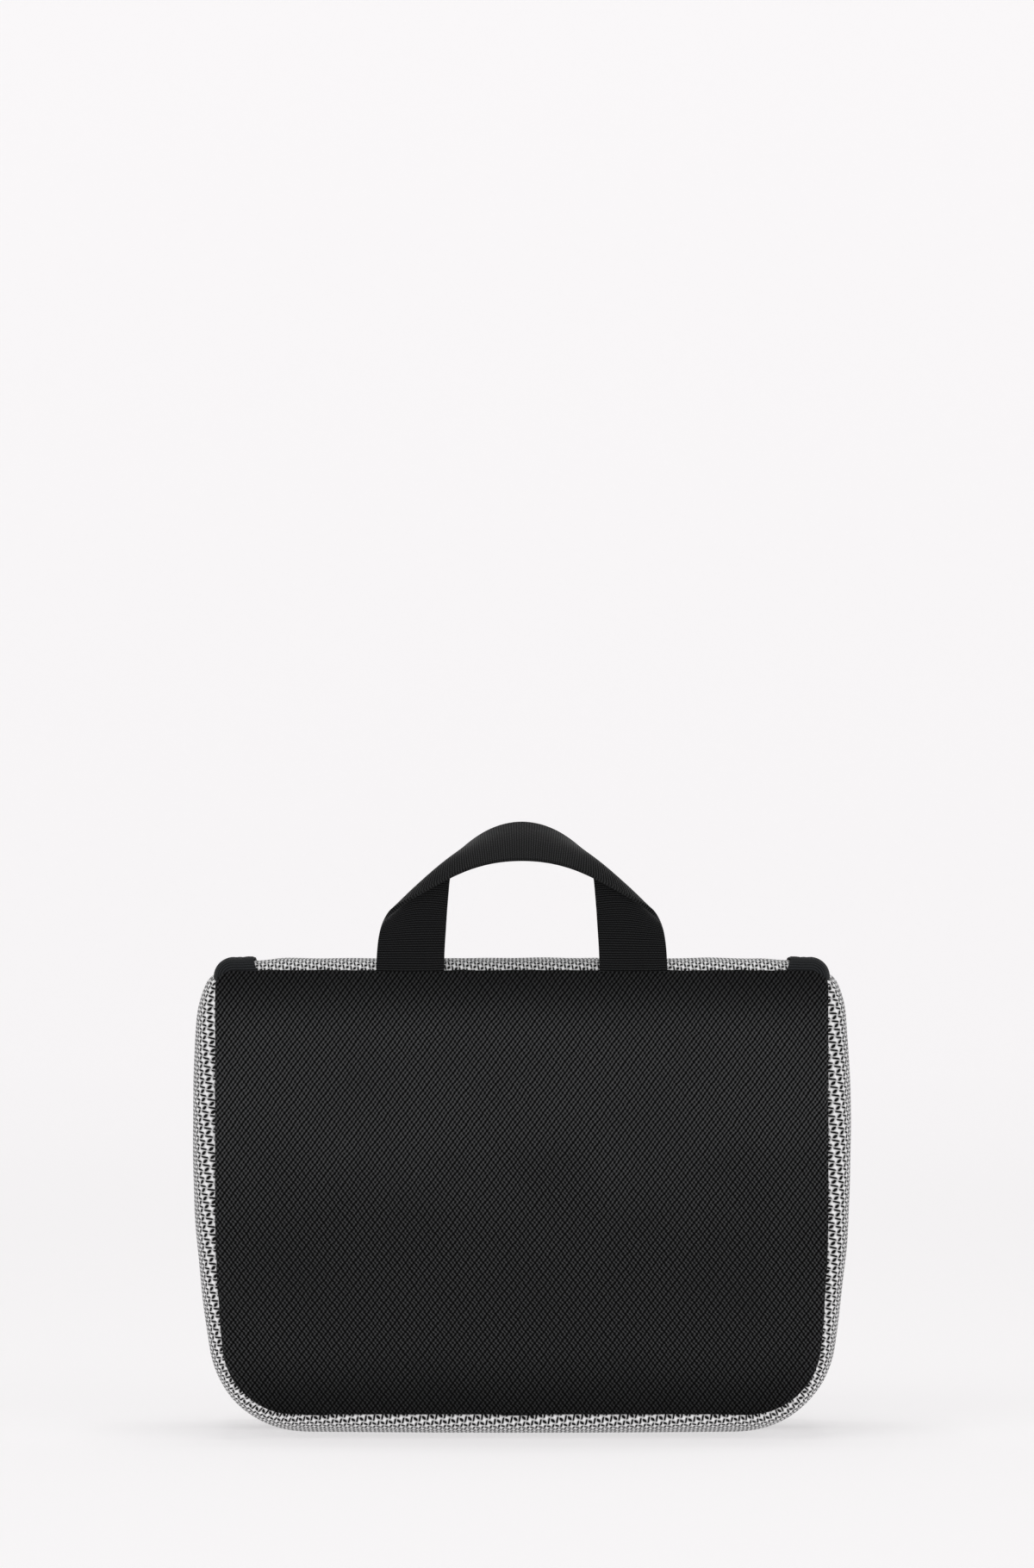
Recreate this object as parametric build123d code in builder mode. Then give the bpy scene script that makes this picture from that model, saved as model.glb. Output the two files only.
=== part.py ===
"""Hanging toiletry bag: a clamshell that unzips round its sides and bottom and hinges along its top.

The back panel faces -Y, the lid opens towards +Y, +Z is up, and the origin lies on the floor
under the middle of the bag. All sizes are millimetres.
"""

import os

from build123d import *

os.makedirs("parts", exist_ok=True)

# ---- driving dimensions: the bag's form ----
body_width = 230.0  # widest place of the gusset
body_height = 167.0  # floor to the top strip
body_depth = 100.0  # back panel to front panel
lid_depth = 38.0  # the part of the depth that swings away
widest_height = 106.0  # where the sides bulge most
bottom_draw = 11.4  # how far each side runs in at the floor
top_draw = 3.7  # how far each side runs in at the top
bottom_corner = 36.0
top_corner = 10.0
edge_round = 6.4  # roll of the gusset into the two panels

# ---- fabric layers ----
gusset_thickness = 1.6
panel_thickness = 1.8
foam_thickness = 3.0
lining_thickness = 0.6
side_lining_thickness = 0.8
ribbon_thickness = 0.6
panel_inset = 7.0  # gusset that shows round each panel
seam_lap = 4.0  # gusset that runs under each panel
layer_gap = 0.1
foam_gap = 0.5

# ---- top strip and corner ribbons ----
ribbon_width = 17.5
ribbon_inset = 21.5  # inner edge of each ribbon in from the widest place
strip_drop = 12.0
strip_tuck = 4.5  # strip that runs under each ribbon
hinge_gap = 0.3

# ---- main zip ----
zip_draw = 7.0  # middle plane of the chain in from the widest place
zip_floor = 4.6  # middle plane of the chain under the bag
zip_head_drop = 9.0  # ends of the chain below the top
zip_valley = 9.0  # half the width of the gap between the two gussets
zip_flange = 1.6
tape_thickness = 0.6
teeth_thickness = 2.0
teeth_width = 2.2
chain_gap = 1.6

# ---- sliders and pullers ----
slider_length = 11.0
slider_width = 9.6
wing_thickness = 1.0
wing_gap = 0.6  # wing to teeth
slider_post = 1.0
slider_post_length = 3.0
bail_width = 2.2
bail_length = 9.0
bail_bar = 0.8
bail_foot = 1.2
bail_room = 2.0  # height of the gap under the bail
slider_flange = 1.0
slider_corner = 1.5
tape_slot = 1.8
puller_width = 7.0
puller_length = 26.0
puller_thickness = 1.2
puller_window = 3.6
puller_window_end = 5.6
puller_corner = 2.8
main_slider_drop = 20.5  # parked slider below the top
pocket_slider_park = 11.0  # parked slider in from the end of the pocket's chain

# ---- carry handle ----
webbing_width = 23.8
webbing_thickness = 1.6
handle_inner = 26.6  # inner edge of each leg from the middle
leg_end_height = 7.7  # fixed end of each leg above the seam
handle_flex = 2.4  # bare length that bends
leg_rise = 11.0  # these four stand above the top of the bag
shoulder_rise = 15.0
crown_shoulder_rise = 43.5
crown_rise = 47.0
shoulder_draw = 3.4  # shoulder in from the leg's outer edge
crown_half = 14.0
arch_depth = 17.4
arch_turn_rise = 6.0  # where the webbing starts to turn from upright to flat, above the top of the bag
arch_turn_height = 30.0

# ---- elastic loops and mesh pocket in the main compartment ----
loop_radius = 13.0
loop_wall = 0.8
loop_pitch = 40.0
loop_count = 4
loop_height = 22.0
loop_floor = 92.0
band_end = 12.0  # flat end of the band past the outer loops
mesh_thickness = 0.8
mesh_pocket_inset = 27.0
mesh_pocket_depth = 17.0
mesh_pocket_floor = 10.0
mesh_pocket_top = 74.0
edge_band_height = 7.0
edge_band_thickness = 1.6

# ---- zip pocket in the lid ----
pocket_inset = 29.0
pocket_floor = 12.0
pocket_zip_height = 70.0
pocket_top = 80.0
pocket_stand = 3.9
pocket_rim = 4.0
pocket_tape_width = 5.0
pocket_chain_inset = 7.0

# ---- mirror ----
mirror_width = 96.0
mirror_height = 62.0
mirror_gap = 8.0  # mirror above the pocket
mirror_thickness = 4.0
mirror_rim = 4.0
mirror_corner = 8.0
glass_thickness = 2.0
patch_width = 60.0
patch_height = 20.0
patch_thickness = 1.0

# ---- hook and its strap ----
hook_strap_width = 18.0
hook_strap_thickness = 1.2
hook_strap_top = 28.5
hook_pivot_height = 6.6
hook_pivot_reach = 2.0  # pivot in front of the lid's rim
hook_root_length = 13.0
hook_root_gap = 0.4  # sewn end to the hanging strap
socket_width = 22.0
socket_thickness = 9.0
socket_floor = 24.0
socket_top = 38.0
socket_corner = 3.0
socket_bevel = 1.0
swivel_depth = 8.0  # chamber floor below the socket's top
shank_radius = 2.5
head_radius = 3.9
head_height = 3.8
swivel_clearance = 0.2
swivel_float = 0.3
collar_radius = 4.5
collar_height = 4.0
hook_throat = 12.0  # inner radius, for a rail
hook_section = 5.0
hook_edge = 1.2
hook_mouth_edge = 3.5  # lower edge of the mouth, off the ring's middle
ring_sink = 1.0  # ring set into the collar

# ---- places worked out from the sizes above ----
front_y = body_depth / 2
rim_y = body_depth / 2 - panel_thickness  # where each gusset meets its panel
split_y = front_y - lid_depth
ribbon_start = body_width / 2 - ribbon_inset
strip_half = ribbon_start + strip_tuck
panel_top = body_height - panel_inset
lining_y = rim_y - foam_thickness - lining_thickness  # inner face of each panel's lining
cavity = gusset_thickness + layer_gap + side_lining_thickness
zip_half_width = body_width / 2 - zip_draw
zip_corner = bottom_corner - zip_floor + tape_thickness
zip_head = body_height - zip_head_drop
main_slider_height = body_height - main_slider_drop
big = 3 * (body_width + body_height + body_depth)
MAIN, LID = -1, 1  # which half a piece belongs to: towards -Y or +Y


def depth_plane(y):
    """Plane across the bag at this depth, with X to the right and Z up."""
    return Plane.XZ.offset(-y)


def outline(y, inset=0.0):
    """The bag's outline seen from behind, drawn in by the inset."""
    bottom_half = body_width / 2 - bottom_draw
    top_half = body_width / 2 - top_draw
    with BuildSketch(depth_plane(y)) as face:
        with BuildLine():
            Line((-bottom_half, 0), (bottom_half, 0))
            ThreePointArc((bottom_half, 0), (body_width / 2, widest_height), (top_half, body_height))
            Line((top_half, body_height), (-top_half, body_height))
            ThreePointArc((-top_half, body_height), (-body_width / 2, widest_height), (-bottom_half, 0))
        make_face()
        fillet(face.vertices().group_by(Axis.Y)[0], radius=bottom_corner)
        fillet(face.vertices().group_by(Axis.Y)[-1], radius=top_corner)
        if inset:
            offset(amount=-inset)
    return face.sketch


def zip_outline(y, grow=0.0):
    """The line of the zip chain: straight sides and rounded lower corners."""
    half = zip_half_width + grow
    floor = zip_floor - grow
    with BuildSketch(depth_plane(y)) as face:
        with Locations((0, (floor + big / 4) / 2)):
            Rectangle(2 * half, big / 4 - floor)
        fillet(face.vertices().group_by(Axis.Y)[0], radius=zip_corner + grow)
    return face.sketch


def bag_form(inset):
    """The whole bag as one closed form, drawn in by the inset."""
    with BuildPart() as form:
        extrude(outline(-rim_y + inset, inset), amount=2 * (rim_y - inset), dir=(0, 1, 0))
        back_edges = form.faces().sort_by(Axis.Y)[0].edges()
        front_edges = form.faces().sort_by(Axis.Y)[-1].edges()
        fillet(back_edges + front_edges, radius=edge_round - inset)
    return form.part


outer_form = bag_form(0)
ribbon_form = bag_form(-ribbon_thickness)
under_gusset_form = bag_form(gusset_thickness)
lining_form = bag_form(gusset_thickness + layer_gap)
cavity_form = bag_form(cavity)


def keep_half(half, y):
    """Keep what lies on this half's side of the depth y."""
    split(bisect_by=depth_plane(y), keep=Keep.TOP if half == MAIN else Keep.BOTTOM)


def save(part, name):
    part.label = name
    export_step(part, f"parts/{name}.step")


def slab(y_from, y_to, inset):
    """A flat layer with the bag's outline between two depths."""
    with BuildPart() as layer:
        extrude(outline(min(y_from, y_to), inset), amount=abs(y_to - y_from), dir=(0, 1, 0))
    return layer.part


# ---- padded panels: outer fabric, foam and lining, one stack on each half ----
for half, panel in ((MAIN, "back"), (LID, "front")):
    save(slab(half * rim_y, half * front_y, panel_inset), f"{panel}_panel")
    foam_inset = panel_inset + seam_lap + foam_gap
    save(slab(half * (rim_y - foam_thickness), half * rim_y, foam_inset), f"{panel}_panel_foam")
    lining_inset = cavity + edge_round - gusset_thickness
    save(slab(half * lining_y, half * (rim_y - foam_thickness), lining_inset), f"{panel}_lining")


# ---- gussets: the woven band round sides and bottom, turned in at the panel and at the zip ----
def gusset(half):
    edge_y = split_y + half * zip_valley
    with BuildPart() as band:
        add(outer_form)
        add(under_gusset_form, mode=Mode.SUBTRACT)
        keep_half(half, edge_y)
        with BuildPart(mode=Mode.PRIVATE) as turned_edge:
            flange_y = min(edge_y, edge_y + half * zip_flange)
            extrude(outline(flange_y, gusset_thickness / 2), amount=zip_flange, dir=(0, 1, 0))
            inner_edge = zip_outline(flange_y, -tape_thickness / 2)
            extrude(inner_edge, amount=zip_flange, dir=(0, 1, 0), mode=Mode.SUBTRACT)
        add(turned_edge.part)
        opening = outline(half * (rim_y + 1), panel_inset + seam_lap)
        extrude(opening, amount=edge_round, dir=(0, -half, 0), mode=Mode.SUBTRACT)
        with Locations((0, 0, body_height)):
            Box(2 * strip_half, big, 2 * strip_drop, mode=Mode.SUBTRACT)
    return band.part


save(gusset(MAIN), "main_gusset")
save(gusset(LID), "lid_gusset")


# ---- side linings: the smooth band inside each gusset ----
def side_lining(half):
    edge_y = split_y + half * (zip_valley + zip_flange + layer_gap)
    with BuildPart() as band:
        add(lining_form)
        add(cavity_form, mode=Mode.SUBTRACT)
        keep_half(half, edge_y)
        keep_half(-half, half * (rim_y - edge_round - layer_gap))
    return band.part


save(side_lining(MAIN), "main_side_lining")
save(side_lining(LID), "lid_side_lining")


# ---- hinge strip: one length of woven fabric over the top, creased where the lid turns ----
def hinge_strip(half):
    with BuildPart() as strip:
        add(outer_form)
        add(under_gusset_form, mode=Mode.SUBTRACT)
        keep_half(half, split_y + half * hinge_gap / 2)
        opening = outline(half * (rim_y + 1), panel_inset + seam_lap)
        extrude(opening, amount=edge_round, dir=(0, -half, 0), mode=Mode.SUBTRACT)
        with Locations((0, 0, body_height)):
            Box(2 * (strip_half - layer_gap), big, 2 * (strip_drop - layer_gap), mode=Mode.INTERSECT)
    return strip.part


save(hinge_strip(MAIN), "hinge_strip_rear")
save(hinge_strip(LID), "hinge_strip_front")


# ---- corner ribbons: ribbed tape over the ends of the zip at the two top corners ----
def corner_ribbon(half, side):
    with BuildPart() as ribbon:
        add(ribbon_form)
        add(outer_form, mode=Mode.SUBTRACT)
        keep_half(half, split_y + half * hinge_gap / 2)
        ribbon_floor = panel_top + layer_gap
        middle = Vector(side * (ribbon_start + ribbon_width), 0, ribbon_floor + ribbon_width)
        with Locations(middle):
            Box(2 * ribbon_width, big, 2 * ribbon_width, mode=Mode.INTERSECT)
    return ribbon.part


for half, place in ((MAIN, "rear"), (LID, "front")):
    for side, hand in ((-1, "left"), (1, "right")):
        save(corner_ribbon(half, side), f"corner_ribbon_{hand}_{place}")


# ---- main zip: a tape and a row of teeth on each half ----
def zip_band(half, near, far, thickness):
    """A band along the zip's line, from one distance off the split to another."""
    start_y = split_y + min(half * near, half * far)
    with BuildPart() as band:
        extrude(zip_outline(start_y, thickness / 2), amount=far - near, dir=(0, 1, 0))
        extrude(zip_outline(start_y, -thickness / 2), amount=far - near, dir=(0, 1, 0), mode=Mode.SUBTRACT)
        split(bisect_by=Plane.XY.offset(zip_head), keep=Keep.BOTTOM)
    return band.part


teeth_from = chain_gap / 2
teeth_to = teeth_from + teeth_width
for half, place in ((MAIN, "main"), (LID, "lid")):
    save(zip_band(half, teeth_to, zip_valley, tape_thickness), f"zip_tape_{place}")
    save(zip_band(half, teeth_from, teeth_to, teeth_thickness), f"zip_teeth_{place}")


# ---- slider and puller, drawn with X along the zip, Z outwards and the chain's middle at Z = 0 ----
wing_z = teeth_thickness / 2 + wing_gap
outer_wing_z = wing_z + wing_thickness
puller_z = outer_wing_z + bail_room / 2


def zip_slider(place, kept_sides):
    """A slider with retaining edges along the tapes that it never leaves."""
    with BuildPart(place) as slider:
        for z in (wing_z, -outer_wing_z):
            with Locations((0, 0, z + wing_thickness / 2)):
                Box(slider_length, slider_width, wing_thickness)
        wing_corners = slider.edges().filter_by(lambda e: abs(e.length - wing_thickness) < 1e-6)
        fillet(wing_corners, radius=slider_corner)
        with Locations((slider_length / 2 - slider_post_length / 2 - wing_thickness, 0, 0)):
            Box(slider_post_length, slider_post, 2 * wing_z)
        edge_y = (slider_width - slider_flange) / 2
        edge_height = wing_z - tape_slot / 2
        edge_z = wing_z - edge_height / 2
        with Locations([(0, side * edge_y, z) for side in kept_sides for z in (edge_z, -edge_z)]):
            Box(slider_length - 3 * wing_thickness, slider_flange, edge_height)
        bail_z = outer_wing_z + (bail_room + bail_bar) / 2
        with Locations((0, 0, bail_z)):
            Box(bail_length, bail_width, bail_room + bail_bar)
        with Locations((0, 0, outer_wing_z + bail_room / 2)):
            Box(bail_length - 2 * bail_foot, bail_width, bail_room, mode=Mode.SUBTRACT)
    return slider.part


def zip_puller(place):
    """A flat tab that turns on its own bar under the slider's bail and lies towards -X."""
    window_middle = (puller_thickness / 2 + puller_window_end) / 2
    window_length = puller_window_end - puller_thickness / 2
    with BuildPart(place) as puller:
        with BuildSketch(place.offset(puller_z - puller_thickness / 2)):
            with Locations(((puller_thickness / 2 - puller_length) / 2, 0)):
                Rectangle(puller_length + puller_thickness / 2, puller_width)
            with Locations((-window_middle, 0)):
                Rectangle(window_length, puller_window, mode=Mode.SUBTRACT)
            with Locations((-puller_length + puller_width / 2, 0)):
                Circle(puller_thickness, mode=Mode.SUBTRACT)
        extrude(amount=puller_thickness)
        tab_end = puller.edges().filter_by(lambda e: abs(e.length - puller_thickness) < 1e-6)
        far_end = tab_end.sort_by(Axis(place.origin, -place.x_dir))[-2:]
        fillet(far_end, radius=puller_corner)
    return puller.part


side_zip = Plane(origin=(zip_half_width, split_y, main_slider_height), x_dir=(0, 0, 1), z_dir=(1, 0, 0))
save(zip_slider(side_zip, [1]), "main_zip_slider")
save(zip_puller(side_zip), "main_zip_puller")

pocket_half = body_width / 2 - pocket_inset
pocket_chain_end = pocket_half - pocket_chain_inset
pocket_slider_place = pocket_chain_end - pocket_slider_park
pocket_face = lining_y - pocket_stand
pocket_chain_y = pocket_face - tape_thickness / 2
pocket_zip = Plane(
    origin=(pocket_slider_place, pocket_chain_y, pocket_zip_height), x_dir=(1, 0, 0), z_dir=(0, -1, 0)
)
save(zip_slider(pocket_zip, [-1, 1]), "pocket_zip_slider")
save(zip_puller(pocket_zip), "pocket_zip_puller")

# ---- zip pocket: a mesh face on a bound frame, closed by a short zip along its upper edge ----
pocket_tape_floor = pocket_zip_height - teeth_to - pocket_tape_width
with BuildPart() as pocket_binding:
    with BuildSketch(depth_plane(pocket_face)):
        with Locations((0, (pocket_floor + pocket_top) / 2)):
            Rectangle(2 * pocket_half, pocket_top - pocket_floor)
            Rectangle(
                2 * (pocket_half - pocket_rim), pocket_top - pocket_floor - 2 * pocket_rim, mode=Mode.SUBTRACT
            )
    extrude(amount=-pocket_stand)
save(pocket_binding.part, "pocket_binding")

with BuildPart() as pocket_mesh:
    with BuildSketch(depth_plane(pocket_face)):
        with Locations((0, (pocket_floor + pocket_tape_floor) / 2)):
            Rectangle(2 * pocket_half, pocket_tape_floor - pocket_floor)
    extrude(amount=tape_thickness)
save(pocket_mesh.part, "pocket_mesh")

with BuildPart() as pocket_zip_tape:
    with BuildSketch(depth_plane(pocket_face)):
        lower = (pocket_tape_floor, pocket_zip_height - teeth_to)
        upper = (pocket_zip_height + teeth_to, pocket_top)
        for low, high in (lower, upper):
            with Locations((0, (low + high) / 2)):
                Rectangle(2 * pocket_half, high - low)
    extrude(amount=tape_thickness)
save(pocket_zip_tape.part, "pocket_zip_tape")

with BuildPart() as pocket_zip_teeth:
    with BuildSketch(depth_plane(pocket_chain_y - teeth_thickness / 2)):
        for side in (-1, 1):
            with Locations((0, pocket_zip_height + side * (teeth_from + teeth_to) / 2)):
                Rectangle(2 * pocket_chain_end, teeth_width)
    extrude(amount=-teeth_thickness)
save(pocket_zip_teeth.part, "pocket_zip_teeth")

# ---- carry handle: webbing sewn into the back of the top seam, standing in a loop ----
leg_y = -rim_y - layer_gap - webbing_thickness  # outer face of the webbing
leg_floor = panel_top + layer_gap
leg_outer = handle_inner + webbing_width
flex_height = leg_floor + leg_end_height + handle_flex / 2
leg_top = body_height + leg_rise
shoulder_half = leg_outer - shoulder_draw
shoulder_height = body_height + shoulder_rise
crown_shoulder = body_height + crown_shoulder_rise
crown_height = body_height + crown_rise
with BuildPart() as handle_leg_ends:
    with BuildSketch(depth_plane(leg_y)):
        for side in (-1, 1):
            with Locations((side * (handle_inner + leg_outer) / 2, leg_floor + leg_end_height / 2)):
                Rectangle(webbing_width, leg_end_height)
    extrude(amount=-webbing_thickness)
save(handle_leg_ends.part, "handle_leg_ends")

with BuildPart() as handle_webbing:
    with BuildSketch(depth_plane(leg_y)) as arch_side:
        with BuildLine() as crown_line:
            Line((-shoulder_half, shoulder_height), (-crown_half, crown_shoulder))
            ThreePointArc((-crown_half, crown_shoulder), (0, crown_height), (crown_half, crown_shoulder))
            Line((crown_half, crown_shoulder), (shoulder_half, shoulder_height))
            under = Vector(0, -2 * webbing_thickness)
            Line((shoulder_half, shoulder_height), Vector(shoulder_half, shoulder_height) + under)
            Line(Vector(shoulder_half, shoulder_height) + under, Vector(crown_half, crown_shoulder) + under)
            ThreePointArc(
                Vector(crown_half, crown_shoulder) + under,
                Vector(0, crown_height) + under,
                Vector(-crown_half, crown_shoulder) + under,
            )
            Line(Vector(-crown_half, crown_shoulder) + under, Vector(-shoulder_half, shoulder_height) + under)
            Line(Vector(-shoulder_half, shoulder_height) + under, (-shoulder_half, shoulder_height))
        make_face()
    extrude(amount=-arch_depth)
    turn_run = arch_depth - webbing_thickness
    turn_start = (0, leg_y + webbing_thickness, body_height + arch_turn_rise)
    split(bisect_by=Plane(turn_start, x_dir=(1, 0, 0), z_dir=(0, -arch_turn_height, turn_run)), keep=Keep.TOP)
    slope = (crown_shoulder - shoulder_height) / (shoulder_half - crown_half)
    leg_inner_top = shoulder_height + slope * (shoulder_half - handle_inner) - webbing_thickness
    with BuildSketch(depth_plane(leg_y)):
        for side in (-1, 1):
            with BuildLine():
                Polyline(
                    (side * handle_inner, flex_height + handle_flex / 2),
                    (side * leg_outer, flex_height + handle_flex / 2),
                    (side * leg_outer, leg_top),
                    (side * shoulder_half, shoulder_height - webbing_thickness),
                    (side * handle_inner, leg_inner_top),
                    close=True,
                )
            make_face()
    extrude(amount=-webbing_thickness)
save(handle_webbing.part, "handle_webbing")

# ---- elastic loops across the back of the main compartment ----
band_half = (loop_count - 1) / 2 * loop_pitch + loop_radius + band_end
loop_centres = [((i - (loop_count - 1) / 2) * loop_pitch, -lining_y) for i in range(loop_count)]
with BuildPart() as elastic_loops:
    with BuildSketch(Plane.XY.offset(loop_floor)):
        with Locations((0, -lining_y + loop_wall / 2)):
            Rectangle(2 * band_half, loop_wall)
        with Locations(loop_centres):
            Circle(loop_radius)
        with Locations(loop_centres):
            Circle(loop_radius - loop_wall, mode=Mode.SUBTRACT)
        with Locations((0, -lining_y - loop_radius)):
            Rectangle(2 * body_width, 2 * loop_radius, mode=Mode.SUBTRACT)
    extrude(amount=loop_height)
save(elastic_loops.part, "elastic_loops")


# ---- open mesh pocket below the loops, and the elastic band round its mouth ----
mesh_pocket_half = body_width / 2 - mesh_pocket_inset


def pouch(grow, wall, low, high):
    """A front wall and two ends that stand off the back lining."""
    with BuildPart() as walls:
        with BuildSketch(Plane.XY.offset(low)):
            with Locations((0, -lining_y + (mesh_pocket_depth + grow) / 2)):
                Rectangle(2 * (mesh_pocket_half + grow), mesh_pocket_depth + grow)
            with Locations((0, -lining_y + (mesh_pocket_depth + grow - wall) / 2)):
                inner_half = mesh_pocket_half + grow - wall
                Rectangle(2 * inner_half, mesh_pocket_depth + grow - wall, mode=Mode.SUBTRACT)
        extrude(amount=high - low)
    return walls.part


with BuildPart() as mesh_pocket:
    add(pouch(0, mesh_thickness, mesh_pocket_floor, mesh_pocket_top))
    with Locations((0, -lining_y + mesh_pocket_depth / 2, mesh_pocket_floor + mesh_thickness / 2)):
        Box(2 * mesh_pocket_half, mesh_pocket_depth, mesh_thickness)
save(mesh_pocket.part, "mesh_pocket")
band_grow = (edge_band_thickness - mesh_thickness) / 2
band_top = mesh_pocket_top + edge_band_height
save(pouch(band_grow, edge_band_thickness, mesh_pocket_top, band_top), "mesh_pocket_band")

# ---- mirror: glass in a moulded frame, held to the lid's lining by a pair of touch-fastener patches ----
mirror_back_y = lining_y - 2 * patch_thickness
mirror_front_y = mirror_back_y - mirror_thickness
mirror_floor = pocket_top + mirror_gap
mirror_middle = mirror_floor + mirror_height / 2
with BuildPart() as mirror_frame:
    with BuildSketch(depth_plane(mirror_front_y)):
        with Locations((0, mirror_middle)):
            RectangleRounded(mirror_width, mirror_height, mirror_corner)
    extrude(amount=-mirror_thickness)
    with BuildSketch(depth_plane(mirror_front_y)):
        with Locations((0, mirror_middle)):
            inner_corner = mirror_corner - mirror_rim
            RectangleRounded(mirror_width - 2 * mirror_rim, mirror_height - 2 * mirror_rim, inner_corner)
    extrude(amount=-glass_thickness, mode=Mode.SUBTRACT)
save(mirror_frame.part, "mirror_frame")

with BuildPart() as mirror_glass:
    with BuildSketch(depth_plane(mirror_front_y + layer_gap)):
        with Locations((0, mirror_middle)):
            glass_width = mirror_width - 2 * (mirror_rim + layer_gap)
            glass_height = mirror_height - 2 * (mirror_rim + layer_gap)
            RectangleRounded(glass_width, glass_height, mirror_corner - mirror_rim)
    extrude(amount=-(glass_thickness - layer_gap))
save(mirror_glass.part, "mirror_glass")

for name, patch_y in (("mirror_patch", mirror_back_y), ("lid_patch", mirror_back_y + patch_thickness)):
    with BuildPart() as patch:
        with BuildSketch(depth_plane(patch_y + (layer_gap if name == "lid_patch" else 0))):
            with Locations((0, mirror_middle)):
                Rectangle(patch_width, patch_height)
        extrude(amount=-(patch_thickness - (layer_gap if name == "lid_patch" else 0)))
    save(patch.part, name)

# ---- hook strap: webbing sewn to the lid's free edge, folded inside while the bag is shut ----
strap_y = split_y - hook_pivot_reach
flange_top = zip_floor + tape_thickness / 2
root_floor = hook_pivot_height - hook_strap_thickness / 2
root_edge_y = strap_y + hook_strap_thickness / 2 + hook_root_gap
with BuildPart() as hook_strap_root:
    with Locations((0, root_edge_y + hook_root_length / 2, hook_pivot_height)):
        Box(hook_strap_width, hook_root_length, hook_strap_thickness)
    foot_middle_y = split_y + zip_valley + zip_flange / 2
    with Locations((0, foot_middle_y, (flange_top + root_floor) / 2)):
        Box(hook_strap_width, zip_flange, root_floor - flange_top)
save(hook_strap_root.part, "hook_strap_root")

strap_floor = hook_pivot_height + hook_strap_thickness / 2
with BuildPart() as hook_strap:
    with Locations((0, strap_y, (strap_floor + hook_strap_top) / 2)):
        Box(hook_strap_width, hook_strap_thickness, hook_strap_top - strap_floor)
save(hook_strap.part, "hook_strap")

# ---- swivel socket on the strap's end ----
chamber_floor = socket_top - swivel_depth
chamber_top = chamber_floor + head_height + 2 * swivel_float
with BuildPart() as hook_socket:
    with Locations((0, strap_y, (socket_floor + socket_top) / 2)):
        Box(socket_width, socket_thickness, socket_top - socket_floor)
    fillet(hook_socket.edges().filter_by(Axis.Z), radius=socket_corner)
    chamfer(hook_socket.faces().sort_by(Axis.Z)[-1].edges(), length=socket_bevel)
    slot_top = hook_strap_top + layer_gap
    with Locations((0, strap_y, (socket_floor + slot_top) / 2)):
        slot_width = hook_strap_width + 2 * layer_gap
        slot_thickness = hook_strap_thickness + 2 * layer_gap
        Box(slot_width, slot_thickness, slot_top - socket_floor, mode=Mode.SUBTRACT)
    with Locations((0, strap_y, (chamber_floor + chamber_top) / 2)):
        Cylinder(head_radius + swivel_clearance, chamber_top - chamber_floor, mode=Mode.SUBTRACT)
    with Locations((0, strap_y, socket_top)):
        Cylinder(shank_radius + swivel_clearance, 2 * (socket_top - chamber_top), mode=Mode.SUBTRACT)
save(hook_socket.part, "hook_socket")

# ---- hook: an open ring on a headed shank that turns in the socket ----
hook_outer = hook_throat + hook_section
collar_floor = socket_top + swivel_float
hook_middle = collar_floor + collar_height + hook_outer - ring_sink
mouth_reach = 2 * hook_outer
with BuildPart() as hook:
    with BuildSketch(depth_plane(strap_y - hook_section / 2)):
        with Locations((0, hook_middle)):
            Circle(hook_outer)
            Circle(hook_throat, mode=Mode.SUBTRACT)
            mouth = [(0, 0), (-mouth_reach, -hook_section), (-mouth_reach, -mouth_reach)]
            Polygon(*mouth, (-hook_mouth_edge, -mouth_reach), align=None, mode=Mode.SUBTRACT)
    extrude(amount=-hook_section)
    fillet(hook.edges().filter_by(GeomType.CIRCLE), radius=hook_edge)
    with Locations((0, strap_y, collar_floor + collar_height / 2)):
        Cylinder(collar_radius, collar_height)
    head_floor = chamber_floor + swivel_float
    with Locations((0, strap_y, head_floor + head_height / 2)):
        Cylinder(head_radius, head_height)
    with Locations((0, strap_y, (head_floor + collar_floor) / 2)):
        Cylinder(shank_radius, collar_floor - head_floor)
save(hook.part, "hook")
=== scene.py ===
# Hanging toiletry bag: a soft clamshell of coarse black weave and silver basket weave, standing shut on its
# floor with its back and carry handle towards -Y. Lengths are in millimetres until mm makes them metres.
import math

import bmesh
import bpy
from mathutils import Matrix, Vector, noise


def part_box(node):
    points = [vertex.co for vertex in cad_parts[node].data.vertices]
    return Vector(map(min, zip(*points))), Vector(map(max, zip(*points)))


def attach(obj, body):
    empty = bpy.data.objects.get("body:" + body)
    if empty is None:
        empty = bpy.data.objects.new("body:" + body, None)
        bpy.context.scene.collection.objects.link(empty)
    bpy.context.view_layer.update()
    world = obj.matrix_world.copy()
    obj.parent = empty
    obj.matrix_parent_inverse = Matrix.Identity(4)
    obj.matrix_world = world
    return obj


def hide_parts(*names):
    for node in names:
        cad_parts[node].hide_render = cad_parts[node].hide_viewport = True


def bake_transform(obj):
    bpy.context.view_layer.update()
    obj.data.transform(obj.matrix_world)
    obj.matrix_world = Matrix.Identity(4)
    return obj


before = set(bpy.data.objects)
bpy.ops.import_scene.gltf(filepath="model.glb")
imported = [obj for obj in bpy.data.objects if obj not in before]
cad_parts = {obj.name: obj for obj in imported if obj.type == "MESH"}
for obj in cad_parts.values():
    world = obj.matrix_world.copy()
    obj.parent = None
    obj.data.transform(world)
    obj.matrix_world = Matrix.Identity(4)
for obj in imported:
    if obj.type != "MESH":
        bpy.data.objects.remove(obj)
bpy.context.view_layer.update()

mm = 0.001
scene = bpy.context.scene
scene.view_settings.view_transform = "Standard"

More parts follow.
